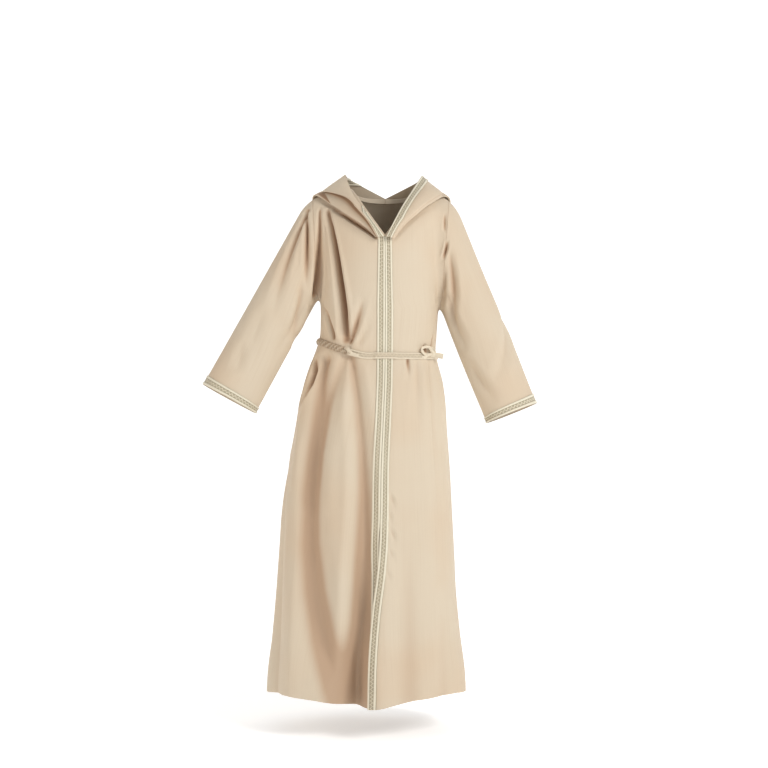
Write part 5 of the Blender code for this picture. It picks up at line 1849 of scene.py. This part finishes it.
@dataclass
class Studio:
    """Floor, backdrop, lights and camera."""

    floor_z: float = -1.0
    view_width: float = 1.459
    distance: float = 3.2
    half_width: float = 7.0
    front_edge: float = -6.0
    curve_start: float = 2.2
    curve_radius: float = 1.5
    backdrop_top: float = 6.0
    middle: tuple = (0.004, -0.35)

    def build_floor(self) -> None:
        """A floor that curves up into a backdrop: a quarter circle between two flats."""
        turn = np.linspace(0, math.pi / 2, 24)
        back = self.curve_start + self.curve_radius
        y = np.concatenate([[self.front_edge], self.curve_start + self.curve_radius * np.sin(turn), [back]])
        z = np.concatenate([[0.0], self.curve_radius * (1 - np.cos(turn)), [self.backdrop_top]]) + self.floor_z
        x = np.linspace(-self.half_width, self.half_width, 12)
        outer = np.stack(np.broadcast_arrays(x[None, :], y[:, None], z[:, None]), axis=-1)
        below = outer + np.array((0, 0.02, -0.02))
        flat = np.stack(np.broadcast_arrays(x[None, :], y[:, None]), axis=-1)
        floor = ShellMesh.build("studio_floor", outer, below, flat)
        floor.data.materials.append(FloorFinish().material())

    def light(self, name: str, place: tuple, aim: tuple, size: float, power: float, colour: tuple) -> None:
        """A square area light that faces a point.

        Args:
            name: the light's name.
            place: where it stands.
            aim: what it faces.
            size: its side in metres.
            power: watts.
            colour: its colour.
        """
        lamp = bpy.data.lights.new(name, "AREA")
        lamp.size, lamp.energy, lamp.color = size, power, colour
        holder = bpy.data.objects.new(name, lamp)
        holder.location = place
        holder.rotation_euler = (Vector(aim) - Vector(place)).to_track_quat("-Z", "Y").to_euler()
        bpy.context.scene.collection.objects.link(holder)

    def build_lights(self) -> None:
        """A soft key from the front left of the robe, a weak fill, and an even pale surround."""
        self.light("key", (2.3, -2.35, 1.5), (0, 0, -0.35), 1.3, 86.0, (1.0, 0.985, 0.965))
        self.light("fill", (-2.7, -1.3, 0.2), (0, 0, -0.5), 1.6, 22.0, (1.0, 0.87, 0.74))
        world = bpy.data.worlds.new("pale_surround")
        world.use_nodes = True
        world.node_tree.nodes["Background"].inputs[0].default_value = (1.0, 1.0, 1.0, 1.0)
        world.node_tree.nodes["Background"].inputs[1].default_value = 0.42
        bpy.context.scene.world = world

    def build_camera(self) -> None:
        """A level camera before the robe, at the photograph's angle."""
        data = bpy.data.cameras.new("front_view")
        data.sensor_width = 36.0
        data.lens = 36.0 * self.distance / self.view_width
        data.clip_end = 50.0
        camera = bpy.data.objects.new("front_view", data)
        camera.location = (self.middle[0], -self.distance, self.middle[1])
        camera.rotation_euler = (math.radians(90), 0.0, 0.0)
        bpy.context.scene.collection.objects.link(camera)
        bpy.context.scene.camera = camera
        bpy.context.scene.view_settings.view_transform = "Standard"


def main() -> None:
    """Builds the robe's pieces in order, then the studio."""
    logging.basicConfig(level=logging.INFO, format="%(name)s: %(message)s")
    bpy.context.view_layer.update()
    pale, beige = (0.76, 0.715, 0.575, 1.0), (0.72, 0.635, 0.495, 1.0)
    wardrobe = Wardrobe(
        cloth=ClothFinish().material(),
        braid=BraidFinish("edge_braid", (0.30, 0.255, 0.165, 1.0), (0.64, 0.575, 0.435, 1.0), pale).material(),
        belt=BraidFinish("belt_braid", (0.47, 0.385, 0.275, 1.0), (0.63, 0.545, 0.405, 1.0), beige).material(),
    )
    cut = ClothCut(Folds())
    body = BodyPieces(cut, wardrobe)
    for side in Side:
        body.build_front(side)
    body.build_back()
    for side in Side:
        body.build_sleeve(side)
        HoodHalf(side, cut, HOOD_GUIDES[side], **HOOD_SHAPES[side]).build(wardrobe)
    belt = TiedBelt()
    wardrobe.lay_out(belt.build_band(wardrobe), "belt", belt.build_knots(wardrobe))
    studio = Studio()
    studio.build_floor()
    studio.build_lights()
    studio.build_camera()


if __name__ == "__main__":
    main()
